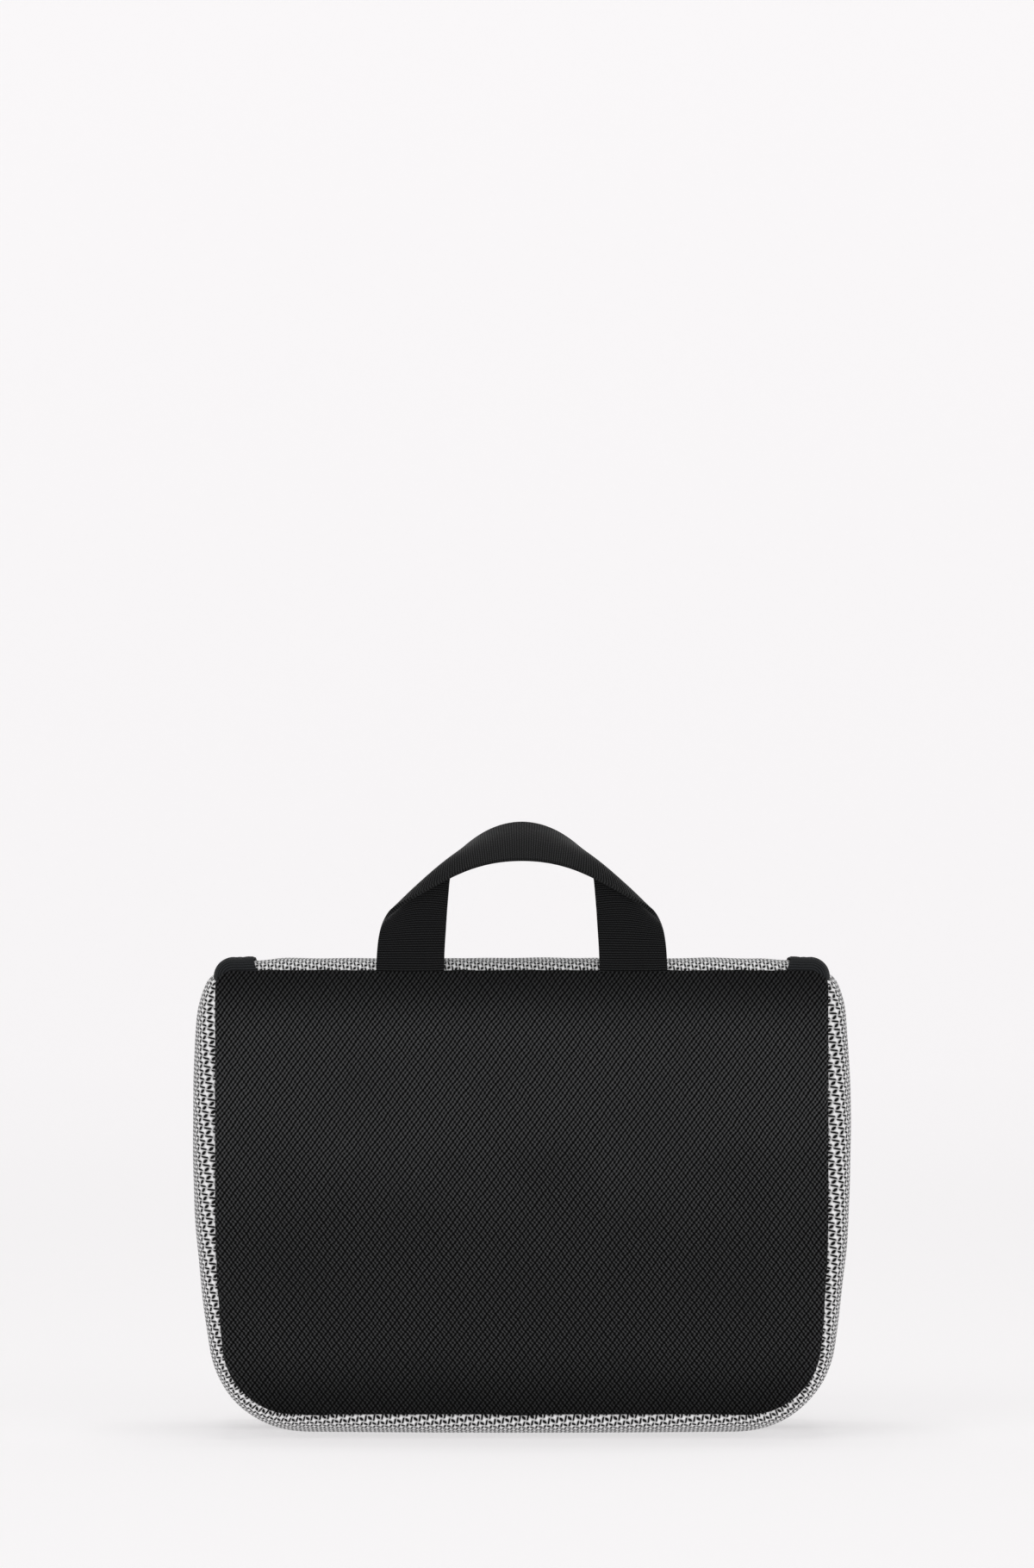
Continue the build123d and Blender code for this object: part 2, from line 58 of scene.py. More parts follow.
# ---- camera ----
# A long lens, level, square on to the back of the bag and a little above its handle.
camera_data = bpy.data.cameras.new("camera")
camera_data.lens = 197.4
camera_data.clip_end = 30
camera = bpy.data.objects.new("camera", camera_data)
camera.location = (-1.65 * mm, -3.025, 0.227)
camera.rotation_euler = (math.radians(90), 0, 0)
scene.collection.objects.link(camera)
scene.camera = camera


# ---- silver gussets ----
# The light band round both sides and the floor of each half: a thick basket weave of silver grey yarn over
# black, rolled into the panel's seam on one edge and turned in beside the zip on the other.
class Outline:
    """The bag seen from behind: bulging sides, round lower corners and a flat floor."""

    def __init__(self, widest, middle, side_radius, corner_radius, floor, upright=False):
        self.widest = widest
        self.middle = middle  # height of the widest place
        self.side_radius = side_radius
        self.corner_radius = corner_radius
        self.floor = floor
        self.upright = upright  # straight above the widest place
        self.side_x = widest - side_radius
        self.corner_z = floor + corner_radius
        rise = middle - self.corner_z
        self.corner_x = self.side_x + math.sqrt((side_radius - corner_radius) ** 2 - rise**2)
        self.turn = math.atan2(rise, self.corner_x - self.side_x)

    def half_width(self, height):
        if height < self.corner_z - self.corner_radius * math.sin(self.turn):
            up = height - self.corner_z
            return self.corner_x + math.sqrt(max(self.corner_radius**2 - up**2, 0))
        if self.upright and height > self.middle:
            return self.widest
        return self.side_x + math.sqrt(self.side_radius**2 - (height - self.middle) ** 2)

    def top_turn(self, top):
        return 0 if self.upright else math.asin((top - self.middle) / self.side_radius)

    def legs(self, top):
        """Turns and runs from the top of the right side, round the floor, to the top of the left side."""
        side_turn = self.top_turn(top) + self.turn
        corner_turn = math.pi / 2 - self.turn
        side = ((self.side_x, 0, self.middle), side_turn, (0, 0, 0), self.side_radius * side_turn)
        corner = ((self.corner_x, 0, self.corner_z), corner_turn, (0, 0, 0), self.corner_radius * corner_turn)
        run = ((0, 0, 0), 0, (-2 * self.corner_x, 0, 0), 2 * self.corner_x)
        way = [side, corner] if side_turn else [corner]
        if self.upright:
            way.insert(0, ((0, 0, 0), 0, (0, 0, self.middle - top), top - self.middle))
        back = [((-c[0], c[1], c[2]), turn, (s[0], s[1], -s[2]), length) for c, turn, s, length in way[::-1]]
        return way + [run] + back

    def start(self, outwards, depth, top):
        turn = self.top_turn(top)
        reach = self.side_radius + outwards
        height = top if self.upright else self.middle + reach * math.sin(turn)
        return Vector((self.side_x + reach * math.cos(turn), depth, height))

    def along(self, x, z):
        """Distance from the middle of the floor to the place beside this point, positive to the right."""
        side, x = (1 if x >= 0 else -1), abs(x)
        corner = math.pi / 2 - self.turn
        if x < self.corner_x and z < self.corner_z:
            return side * x
        turn = math.atan2(x - self.corner_x, self.corner_z - z)
        if turn < corner:
            return side * (self.corner_x + self.corner_radius * turn)
        if self.upright and z > self.middle:
            side_run = self.side_radius * self.turn + z - self.middle
        else:
            side_run = self.side_radius * (math.atan2(z - self.middle, x - self.side_x) + self.turn)
        return side * (self.corner_x + self.corner_radius * corner + side_run)

    def place(self, distance):
        """Where a distance along the outline lies: X along it, Z outwards."""
        side, left = (1 if distance >= 0 else -1), abs(distance)
        corner = math.pi / 2 - self.turn
        if left < self.corner_x:
            point, turn = Vector((left, 0, self.floor)), 0
        elif left < self.corner_x + self.corner_radius * corner:
            turn = (left - self.corner_x) / self.corner_radius
            centre = Vector((self.corner_x, 0, self.corner_z))
            point = centre + self.corner_radius * Vector((math.sin(turn), 0, -math.cos(turn)))
        else:
            left -= self.corner_x + self.corner_radius * corner
            rise = self.side_radius * self.turn
            if self.upright and left > rise:
                turn = math.pi / 2
                point = Vector((self.widest, 0, self.middle + left - rise))
            else:
                turn = corner + left / self.side_radius
                centre = Vector((self.side_x, 0, self.middle))
                point = centre + self.side_radius * Vector((math.sin(turn), 0, -math.cos(turn)))
        point.x *= side
        spin = Matrix.Rotation(-side * turn, 4, "Y") @ Matrix.Rotation(math.pi, 4, "X")
        return Matrix.Translation(point) @ spin


def scaled(point):
    return Vector(point) * mm


def drive(bm, geom, legs, axis, step):
    """Draw edges or vertices along turns and runs, each of them a centre, an angle, a shift and a length."""
    for centre, angle, shift, length in legs:
        steps = max(round(length / step), 1)
        move = scaled(shift) / steps
        drawn = bmesh.ops.spin(
            bm, geom=geom, cent=scaled(centre), axis=axis, dvec=move, angle=angle, steps=steps
        )
        geom = drawn["geom_last"]


def chain(bm, points, across):
    """Edges through points, each vertex keeping its distance across the cloth."""
    verts = [bm.verts.new(scaled(point)) for point in points]
    edges = [bm.edges.new(pair) for pair in zip(verts, verts[1:])]
    distance = 0
    for i, vert in enumerate(verts):
        distance += (vert.co - verts[i - 1].co).length / mm if i else 0
        vert[across] = distance
    return verts + edges


def sweep(section, outline, top, step=3.0):
    """A band with this section, in outwards and depth, down one side, round the floor and up the other."""
    bm = bmesh.new()
    across = bm.verts.layers.float.new("across")
    start = chain(bm, [outline.start(out, depth, top) for out, depth in section], across)
    drive(bm, start, outline.legs(top), (0, 1, 0), step)
    lay(bm, lambda vert: outline.along(vert.co.x / mm, vert.co.z / mm), lambda vert: vert[across])
    return bm


def lay(bm, along, across):
    """Give the cloth its own measure, in millimetres along and across it."""
    cloth = bm.loops.layers.uv.new("cloth")
    for face in bm.faces:
        for loop in face.loops:
            loop[cloth].uv = (along(loop.vert), across(loop.vert))


def outwards(bm, middle):
    """Turn every face away from a point inside."""
    bmesh.ops.recalc_face_normals(bm, faces=bm.faces)
    facing = sum(f.normal.dot(f.calc_center_median() - scaled(middle)) * f.calc_area() for f in bm.faces)
    if facing < 0:
        bmesh.ops.reverse_faces(bm, faces=bm.faces)


def ripple(bm, size, height, seed, hold=lambda co: 1.0):
    """Small uneven swellings of cloth, less where it is held."""
    bm.normal_update()
    for vert in bm.verts:
        lift = noise.noise(vert.co / (size * mm) + Vector((seed, seed, seed)))
        vert.co += vert.normal * lift * height * mm * hold(vert.co / mm)


def settle(piece):
    """Make a piece's modifiers part of its mesh."""
    graph = bpy.context.evaluated_depsgraph_get()
    mesh = bpy.data.meshes.new_from_object(piece.evaluated_get(graph))
    piece.modifiers.clear()
    piece.data = mesh


def make(name, bm, finish, body=None, stands_for=(), wall=0.0, side=-1.0, smooth=0, sharp=40):
    """A finished piece from a mesh, with its wall, its finish, its body and the nodes it stands for."""
    mesh = bpy.data.meshes.new(name)
    for face in bm.faces:
        face.smooth = True
    bm.to_mesh(mesh)
    bm.free()
    mesh.materials.append(finish.material)
    piece = bpy.data.objects.new(name, mesh)
    scene.collection.objects.link(piece)
    if smooth:
        rounding = piece.modifiers.new("rounding", "SUBSURF")
        rounding.levels = rounding.render_levels = smooth
    if wall:
        solid = piece.modifiers.new("wall", "SOLIDIFY")
        solid.thickness = wall * mm
        solid.offset = side
        solid.use_even_offset = True
    settle(piece)
    piece.data.set_sharp_from_angle(angle=math.radians(sharp))
    if body:
        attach(piece, body)
    if stands_for:
        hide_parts(*stands_for)
    return piece


def operator(operation, reflected=False):
    """A way for a value to take part in a sum, on either side of the sign."""

    def apply(self, other):
        pair = (other, self) if reflected else (self, other)
        return self.finish.node("ShaderNodeMath", {"operation": operation}, dict(enumerate(pair)))

    return apply


class Value:
    """A number or colour that varies over a finish, and takes part in sums."""

    __add__ = __radd__ = operator("ADD")
    __mul__ = __rmul__ = operator("MULTIPLY")
    __sub__ = operator("SUBTRACT")
    __rsub__ = operator("SUBTRACT", reflected=True)
    __truediv__ = operator("DIVIDE")
    __mod__ = operator("FLOORED_MODULO")
    __pow__ = operator("POWER")

    def __init__(self, finish, socket):
        self.finish = finish
        self.socket = socket

    def of(self, operation):
        return self.finish.node("ShaderNodeMath", {"operation": operation}, {0: self})


class Finish:
    """A material: what is even stands on the shader's own sockets, and what varies is worked out."""

    def __init__(self, name, even):
        self.material = bpy.data.materials.new(name)
        self.material.use_nodes = True
        self.tree = self.material.node_tree
        self.shader = self.tree.nodes["Principled BSDF"]
        for socket, value in even.items():
            self.shader.inputs[socket].default_value = value

    def node(self, kind, settings, values, output=0):
        node = self.tree.nodes.new(kind)
        for setting, value in settings.items():
            setattr(node, setting, value)
        for socket, value in values.items():
            if isinstance(value, Value):
                self.tree.links.new(value.socket, node.inputs[socket])
            else:
                node.inputs[socket].default_value = value
        return Value(self, node.outputs[output])

    def cloth(self):
        """Millimetres along and across the piece, from its own map."""
        source = self.node("ShaderNodeUVMap", {"uv_map": "cloth"}, {})
        return [self.node("ShaderNodeSeparateXYZ", {}, {0: source}, output=i) for i in range(2)]

    def place(self):
        """Millimetres in X, Y and Z."""
        source = self.node("ShaderNodeTexCoord", {}, {}, output="Object")
        return [self.node("ShaderNodeSeparateXYZ", {}, {0: source}, output=i) * 1000 for i in range(3)]

    def cloud(self, parts, size, detail=2.0):
        """Soft noise about nought, in lumps of this many millimetres, over these coordinates."""
        spot = self.node("ShaderNodeCombineXYZ", {}, dict(enumerate(parts)))
        values = {"Vector": spot, "Scale": 1 / size, "Detail": detail}
        return self.node("ShaderNodeTexNoise", {}, values) - 0.5

    def fade(self, value, low, high):
        """From 0 at the low value to 1 at the high one, smoothly."""
        settings = {"interpolation_type": "SMOOTHSTEP"}
        values = {"Value": value, "From Min": low, "From Max": high}
        return self.node("ShaderNodeMapRange", settings, values)

    def mix(self, share, first, second):
        settings = {"data_type": "RGBA"}
        return self.node("ShaderNodeMix", settings, {0: share, 6: first, 7: second}, output=2)

    def coat(self, colour=None, roughness=None, height=None, alpha=None):
        """Lead what varies to the shader; height is in millimetres."""
        if height is not None:
            values = {"Height": height, "Distance": mm, "Strength": 1.0}
            self.lead("Normal", self.node("ShaderNodeBump", {}, values))
        for socket, value in (("Base Color", colour), ("Roughness", roughness), ("Alpha", alpha)):
            if value is not None:
                self.lead(socket, value)
        return self

    def lead(self, socket, value):
        self.tree.links.new(value.socket, self.shader.inputs[socket])


def grey(level, warmth=0.0):
    """A neutral colour from how light it looks, 0 to 255, leaning to warm or cool."""

    def linear(part):
        part = min(max(part, 0), 255) / 255
        return part / 12.92 if part <= 0.04045 else ((part + 0.055) / 1.055) ** 2.4

    return (linear(level + warmth), linear(level), linear(level - warmth), 1)


def basket_weave(name, step, column, mark):
    """Silver yarn with black bars and slanted black floats between, one column a step off the next."""
    finish = Finish(name, {"Sheen Weight": 0.04, "Sheen Roughness": 0.5, "Specular IOR Level": 0.2})
    bar_half, float_wide, float_long = 0.33 * mark, 0.52 * mark, 0.37 * column
    slant_cos, slant_sin = 0.82, 0.57
    u, v = finish.cloth()
    sway = finish.cloud((u, v), 9)
    along = (u + sway * 0.5) / step
    across = (v + u * 0.18 + sway * 0.3) / column
    row, rank = along.of("FLOOR"), across.of("FLOOR")
    x = (along - row - 0.5) * step
    y = (across - rank - 0.5) * column
    odd = (row + rank) % 2
    x_bar = x + y * 0.16
    bar = ((x_bar / bar_half) ** 2 + (y / (0.47 * column)) ** 4).of("SQRT")
    x_float = x * slant_cos - y * slant_sin
    y_float = x * slant_sin + y * slant_cos
    slanted = ((x_float / float_wide) ** 2 + (y_float / float_long) ** 2).of("SQRT")
    near = bar * odd + slanted * (1 - odd)
    black = 1 - finish.fade(near, 0.75, 1.15)
    shade = finish.fade(near, 0.9, 2.1)
    fibre = finish.cloud((u * 0.6, v * 3), 0.5, 4)
    light = finish.mix(shade, grey(150), grey(249, -1))
    light = finish.mix(finish.fade(fibre, -0.3, 0.3), light, grey(252))
    worn = finish.cloud((u, v), 28)
    light = finish.mix(finish.fade(worn, 0.0, 0.5) * 0.35, light, grey(190))
    colour = finish.mix(black, light, grey(8))
    height = 0.34 * shade - 0.3 * black + 0.06 * fibre
    return finish.coat(colour=colour, height=height, roughness=0.78 + 0.12 * black)


silver = basket_weave("silver_basket_weave", 1.44, 3.0, 1.0)
body_outline = Outline(widest=115, middle=106, side_radius=500, corner_radius=36, floor=0)
gusset_top = 162.5
main_section = [(-14, -47.6), (-9.5, -48.2), (-7.2, -48.9), (-5, -48.6), (-3.2, -47), (-2.0, -43.8)]
main_section += [(-1.0, -38.5), (-0.4, -31), (0, -22), (0, -12), (-1.0, -4), (-2.4, 0), (-4, 2.4)]
main_section += [(-5.8, 3), (-7.4, 2.8)]
lid_section = [(-7.4, 21.2), (-5.5, 20.9), (-3.6, 21.6), (-1.6, 24), (-0.3, 28), (0, 33), (-0.6, 38.5)]
lid_section += [(-1.8, 43.8), (-3.2, 47), (-5, 48.6), (-7.2, 48.9), (-9.5, 48.2), (-14, 47.6)]


def off_the_floor(co):
    """Nothing at the floor itself, and everything from a little above it."""
    return min(max(co.z / 6, 0.0), 1.0)


lift_middle, lift_most = 1.5, 3.1  # how far the floor's long edges are lifted, in the middle and at most
lift_x, lift_end_x = 75, 98  # where along the floor they are lifted most, and where that ends
lift_depth, lift_full_depth = 15, 46  # how far from the middle of the floor that starts, and is whole
lift_height = 14
narrow_from, tuck_from = 146, 159.5  # heights where the sides slope in, and where they are tucked in
narrow_by, tuck_by = 3.0, 3.5


def draw_in(bm):
    """Pull the two ends in under the corner ribbons, and lift the floor's long edges a little."""
    for vert in bm.verts:
        x, y, height = vert.co / mm
        if abs(x) < lift_x:
            lift = lift_middle + (lift_most - lift_middle) * (x / lift_x) ** 2
        else:
            lift = lift_most * max((lift_end_x - abs(x)) / (lift_end_x - lift_x), 0)
        edge = min(max((abs(y) - lift_depth) / (lift_full_depth - lift_depth), 0), 1)
        low = max(1 - height / lift_height, 0)
        vert.co.z += lift * edge * low * mm
        slope = max(height - narrow_from, 0) / 14
        tuck = max(height - tuck_from, 0) / 3
        pull = narrow_by * slope**2 + tuck_by * tuck**2
        vert.co.x -= math.copysign(pull * mm, vert.co.x)


for body, node, section, seed in (
    ("main", "main_gusset", main_section, 3.0),
    ("lid", "lid_gusset", lid_section, 8.0),
):
    bm = sweep(section, body_outline, gusset_top, step=2.5)
    outwards(bm, (0, section[len(section) // 2][1], 90))
    ripple(bm, 17, 0.45, seed, off_the_floor)
    draw_in(bm)
    make(node + "_weave", bm, silver, body, (node,), wall=1.1, smooth=1)


# ---- padded panels ----
# The large black faces: a coarse float weave over thin foam, blown up a little between the seams that hold
# its rim, and sewn down over the gusset's rolled edge.
def float_weave(name):
    """Coarse black yarn crossing in slanting ribs, with dark pits in staggered rows between the crossings."""
    pit_spacing, row_spacing = 2.98, 3.97
    finish = Finish(name, {"Sheen Weight": 0.02, "Sheen Roughness": 0.4, "Specular IOR Level": 0.05})
    x, _, z = finish.place()
    sway = finish.cloud((x, z), 5)
    drift = finish.cloud((x, z, 40), 6)
    fuzz = finish.cloud((x, z), 0.45, 4)
    along = (x + sway * 0.9) / pit_spacing
    up = (z + drift * 0.9) / row_spacing
    rising = along + up
    falling = along - up

    def wave(cycles):
        return 0.5 - 0.5 * (cycles * 2 * math.pi).of("COSINE")

    slant = finish.fade(z + 70 * finish.cloud((x, z, 20), 45), 60, 120)
    ground = 0.25 * wave(falling) + 0.2 * wave(rising) + 0.75 * wave(2 * rising)
    ribs = wave(2 * falling) * (0.7 + 0.5 * slant)
    floats = 0.3 * wave(3 * rising - falling) * (1 - 0.7 * slant)
    raised = (ground + ribs + floats) / 2.4
    ragged = raised + 0.35 * fuzz
    patch = finish.cloud((x, z), 34)
    # Painted shade and highlight: the weave's height sets the colour, so the pits are painted near black and
    # the raised yarn lighter.
    light = finish.mix(finish.fade(ragged, 0.29, 0.93), grey(3), grey(80, -1))
    colour = finish.mix(finish.fade(patch, -0.1, 0.4) * 0.2, light, grey(22, -1))
    seam_shade = 1 - finish.fade(z, 6, 34) * (1 - finish.fade(z, 140, 163))
    colour = finish.mix(seam_shade * 0.6, colour, grey(3))
    height = 0.5 * raised + 0.12 * fuzz
    return finish.coat(colour=colour, height=height, roughness=0.6 + 0.25 * (1 - raised))


black_weave = float_weave("black_float_weave")
panel_outline = Outline(widest=106.2, middle=80, side_radius=465, corner_radius=25, floor=8.7, upright=True)
panel_top, panel_corner = 162.6, 4.5
panel_rim = 49.5  # depth of the sewn rim
panel_crown = 3.2  # most that the padding may swell past it
panel_thick = 4.0
panel_step = 2.6  # length of the cloth's squares
quilting = ((23, 0.35), (9, 0.15))  # sizes and heights of the swellings in the padding
pucker_band, pucker = 4, 0.45  # how much of the top seam puckers, and how far


def row_heights(outline, top, step):
    """Heights of a sheet's rows, close together where the lower corners turn."""
    turns = round(outline.corner_radius * math.pi / 2 / step)
    low = [outline.corner_z - outline.corner_radius * math.cos(i / turns * math.pi / 2) for i in range(turns)]
    rest = round((top - outline.corner_z) / step)
    return low + [outline.corner_z + (top - outline.corner_z) * i / rest for i in range(rest + 1)]


def sheet(outline, top, step, depth, top_corner=0.0):
    """A flat grid of cloth with the outline's shape, in a plane across the bag."""
    heights = row_heights(outline, top, step)
    columns = round(2 * outline.widest / step)
    bm = bmesh.new()
    bmesh.ops.create_grid(bm, x_segments=columns, y_segments=len(heights) - 1, size=1)
    for vert in bm.verts:
        height = heights[round((vert.co.y + 1) / 2 * (len(heights) - 1))]
        half = outline.half_width(height)
        if height > top - top_corner:
            rise = height - (top - top_corner)
            half -= top_corner - math.sqrt(max(top_corner**2 - rise**2, 0))
        vert.co = scaled((vert.co.x * half, depth, height))
    lay(bm, lambda vert: vert.co.x / mm, lambda vert: vert.co.z / mm)
    return bm


def swell(piece, held, pressure, frames, cap):
    """Blow a closed pad up between the places where it is held, and stop it at the cap."""
    group = piece.vertex_groups.new(name="sewn")
    start = [vert.co.copy() for vert in piece.data.vertices]
    group.add([i for i, co in enumerate(start) if held(co / mm)], 1.0, "REPLACE")
    cloth = piece.modifiers.new("cloth", "CLOTH")
    cloth.settings.vertex_group_mass = "sewn"
    cloth.settings.use_pressure = True
    cloth.settings.uniform_pressure_force = pressure
    cloth.settings.effector_weights.gravity = 0
    cloth.settings.tension_stiffness = cloth.settings.compression_stiffness = 20
    cloth.settings.bending_stiffness = 0.4
    cloth.settings.shrink_min = -0.012
    cloth.point_cache.frame_end = frames
    for step in range(1, frames + 1):
        scene.frame_set(step)
    graph = bpy.context.evaluated_depsgraph_get()
    swollen = [vert.co.copy() for vert in piece.evaluated_get(graph).data.vertices]
    piece.modifiers.clear()
    piece.vertex_groups.clear()
    for vert, before, after in zip(piece.data.vertices, start, swollen):
        move = after - before
        if move.length > cap * mm:
            move = move.normalized() * cap * mm
        vert.co = before + move
    scene.frame_set(1)


def sewn(co):
    """Whether a place on a panel is on its inner face or its rim, where the seams hold it."""
    if abs(co.y) < panel_rim - 0.5:
        return True
    near_side = abs(co.x) > panel_outline.half_width(co.z) - panel_step * 0.8
    return near_side or co.z > panel_top - 0.5 or co.z < panel_outline.floor + 0.5


for body, name, side in (("main", "back", -1), ("lid", "front", 1)):
    bm = sheet(panel_outline, panel_top, panel_step, side * panel_rim, panel_corner)
    inner = bmesh.ops.extrude_face_region(bm, geom=bm.faces[:])["geom"]
    moved = [item for item in inner if isinstance(item, bmesh.types.BMVert)]
    bmesh.ops.translate(bm, verts=moved, vec=(0, -side * panel_thick * mm, 0))
    outwards(bm, (0, side * (panel_rim - panel_thick / 2), 80))
    pad = make(name + "_padding", bm, black_weave)
    swell(pad, sewn, pressure=4.0, frames=20, cap=panel_crown)
    bm = bmesh.new()
    bm.from_mesh(pad.data)
    for vert in bm.verts:
        x, y, height = vert.co / mm
        if height > panel_top - pucker_band:
            vert.co.z += pucker * noise.noise(Vector((x / 6, 0, side * 5))) * mm
        if sewn(Vector((x, y, height))):
            continue
        quilt = sum(noise.noise(vert.co / (size * mm)) * most for size, most in quilting)
        vert.co.y += side * quilt * mm
    rim = [e for e in bm.edges if len(e.link_faces) == 2 and e.calc_face_angle() > 1.0]
    bmesh.ops.bevel(bm, geom=rim, offset=0.7 * mm, segments=2, profile=0.5, affect="EDGES", material=-1)
    for face in bm.faces:
        face.smooth = True
    bm.to_mesh(pad.data)
    bm.free()
    rounding = pad.modifiers.new("rounding", "SUBSURF")
    rounding.levels = rounding.render_levels = 1
    settle(pad)
    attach(pad, body)
    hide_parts(name + "_panel", name + "_panel_foam")

# ---- top strip ----
# One length of the silver weave over the top, tucked under both panels; it is the hinge between the main
# half and the lid. A plain lining follows it inside.
hinge_y = 12.0
strip_section = [(-48.2, 158), (-48.5, 161), (-48.0, 163.3), (-46.2, 165.3), (-42.5, 166.1), (-34, 166.3)]
strip_section += [(-20, 165.7), (-4, 165.1), (8, 164.9), (12, 165.0), (16, 164.8), (28, 164.8)]
strip_section += [(38, 165.1), (43, 164.8), (46.4, 163.9), (48.2, 161.8), (48.5, 160), (48.2, 158)]
strip_half = 98.0
pressed_from, pressed_by = 86, 0.8  # where the corner ribbons press it down, and how far


def fold_over(piece):
    """Bake a piece's placement into its mesh; it is not bent with the lid."""
    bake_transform(piece)


def top_band(section, half, step):
    """Cloth with this section, in depth and height, from one side of the bag to the other."""
    bm = bmesh.new()
    across = bm.verts.layers.float.new("across")
    start = chain(bm, [(-half, depth, height) for depth, height in section], across)
    drive(bm, start, [((0, 0, 0), 0, (2 * half, 0, 0), 2 * half)], (0, 1, 0), step)
    lay(bm, lambda vert: vert.co.x / mm, lambda vert: vert[across])
    outwards(bm, (0, 0, 140))
    return bm


bm = top_band(strip_section, strip_half, 2.5)
ripple(bm, 15, 0.4, 5.0)
for vert in bm.verts:
    vert.co.z -= min(max(abs(vert.co.x) / mm - pressed_from, 0) / 6, 1) * pressed_by * mm
fine_silver = basket_weave("fine_silver_weave", 1.3, 2.0, 0.8)
strip = make("top_strip_weave", bm, fine_silver, wall=1.0, smooth=1)
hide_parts("hinge_strip_rear", "hinge_strip_front")
fold_over(strip)


# ---- corner ribbons ----
# Dark ribbed ribbon folded over each top corner, from the back seam to the front seam, to cover the ends
# of the zip.
def ribbed(name, base, ridge_highlight, pitch, sheen=0.02):
    """Ribs across the width of a narrow woven band, each broken into short floats."""
    finish = Finish(name, {"Sheen Weight": sheen, "Sheen Roughness": 0.4, "Specular IOR Level": 0.06})
    u, v = finish.cloth()
    sway = finish.cloud((u, v), 6)
    fuzz = finish.cloud((u * 2, v * 2), 0.7, 4)
    rank = (u / pitch).of("FLOOR") * 0.5
    broken = 0.5 + 0.5 * ((v / 0.9 + rank) * 2 * math.pi).of("SINE")
    ribs = 0.5 + 0.5 * ((u + sway * 0.25) / pitch * 2 * math.pi).of("SINE")
    raised = ribs * (0.6 + 0.4 * broken) + 0.35 * fuzz
    # Painted highlight and shade: the raised ribs take the lighter ridge colour, and the grooves between them
    # take the darker base colour.
    colour = finish.mix(finish.fade(raised, 0.05, 0.9), base, ridge_highlight)
    return finish.coat(colour=colour, height=0.22 * raised, roughness=0.6 + 0.15 * (1 - ribs))


ribbon_finish = ribbed("corner_ribbon_rib", grey(26, -1), grey(50, -2), 0.95)
corner_x, corner_z, ribbon_inside = 99.9, 159.9, 90.8
ribbon_section = [(-48.7, 1.2), (-49.3, 3.0), (-48.8, 4.9), (-47.2, 6.4), (-44, 7.15), (-34, 7.2)]
ribbon_section += [(-16, 6.7), (4, 6.1), (12, 5.9), (20, 5.7), (34, 5.4), (44, 5.3)]
ribbon_section += [(47.2, 4.7), (48.8, 3.4), (49.2, 2.0), (48.7, 0.6)]
ribbon_rise = 7.2
ribbon_depth = 98
ribbon_slant = 2.4  # how far its inner end leans, up its height and along its length
creases, crease_wide, crease_deep = (97.0, 99.4), 0.7, 0.35
for hand, side in (("left", -1), ("right", 1)):
    bm = bmesh.new()
    across = bm.verts.layers.float.new("across")
    start = chain(bm, [(ribbon_inside, depth, corner_z + up) for depth, up in ribbon_section], across)
    run = corner_x - ribbon_inside
    way = [((0, 0, 0), 0, (run, 0, 0), run), ((corner_x, 0, corner_z), math.pi / 2, (0, 0, 0), 12)]
    way.append(((0, 0, 0), 0, (0, 0, -1.2), 1.2))
    drive(bm, start, way, (0, 1, 0), 1.4)
    lay(bm, lambda vert: vert[across], lambda vert: (vert.co.x - vert.co.z) / mm)
    for vert in bm.verts:
        inside = max(1 - (vert.co.x / mm - ribbon_inside) / run, 0)
        height = max(vert.co.z / mm - corner_z, 0)
        far = vert.co.y / mm / ribbon_depth + 0.5
        vert.co.x += inside * ribbon_slant * (height / ribbon_rise + far) * mm
        crease = sum(math.exp(-(((vert.co.x / mm - x) / crease_wide) ** 2)) for x in creases)
        vert.co.z -= crease_deep * crease * mm * height / ribbon_rise
    ripple(bm, 8, 0.3, 2.0 + side)
    if side < 0:
        bmesh.ops.scale(bm, vec=(-1, 1, 1), verts=bm.verts)
    outwards(bm, (side * 95, 0, 150))
    ribbon = make(f"corner_ribbon_{hand}", bm, ribbon_finish, wall=0.7, smooth=2)
    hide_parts(f"corner_ribbon_{hand}_rear", f"corner_ribbon_{hand}_front")
    fold_over(ribbon)

# ---- carry handle ----
# One length of black ribbed webbing: both ends are sewn into the back seam, and above them it folds over
# itself, so that its outer edge becomes the lower edge of the arch. Rows give its outer edge, its middle and
# its inner edge on the right-hand half.
webbing = ribbed("black_webbing", grey(0), grey(40, -1), 0.85, sheen=0.24)
handle_rows = [
    ((50.4, -48.3, 158.5), (38.5, -48.3, 158.5), (26.8, -48.3, 158.5)),
    ((50.4, -48.9, 163.4), (38.5, -48.9, 163.4), (26.9, -48.9, 163.4)),
    ((50.1, -49.5, 170.0), (38.3, -49.4, 170.0), (26.7, -49.4, 170.0)),
    ((49.3, -49.9, 176.0), (37.8, -49.5, 177.0), (26.2, -49.2, 177.0)),
    ((47.6, -50.8, 180.4), (38.9, -50.0, 185.0), (25.9, -48.6, 183.5)),
    ((44.0, -52.2, 184.2), (38.0, -50.4, 191.0), (25.5, -47.6, 189.0)),
    ((36.8, -53.6, 188.3), (33.6, -50.2, 196.0), (25.2, -45.8, 195.0)),
    ((28.0, -53.2, 193.3), (27.4, -48.0, 200.8), (24.0, -41.5, 200.8)),
    ((19.0, -52.0, 197.8), (20.0, -45.2, 204.2), (19.0, -37.0, 205.6)),
    ((9.5, -51.0, 200.4), (10.3, -43.0, 207.6), (11.0, -34.2, 211.4)),
    ((0.0, -50.6, 201.1), (0.0, -42.3, 208.8), (0.0, -33.0, 214.2)),
]
webbing_wide = 24.0
other_half = [tuple((-x, y, z) for x, y, z in row) for row in handle_rows[-2::-1]]
rows = handle_rows + other_half
lengths = [0.0]
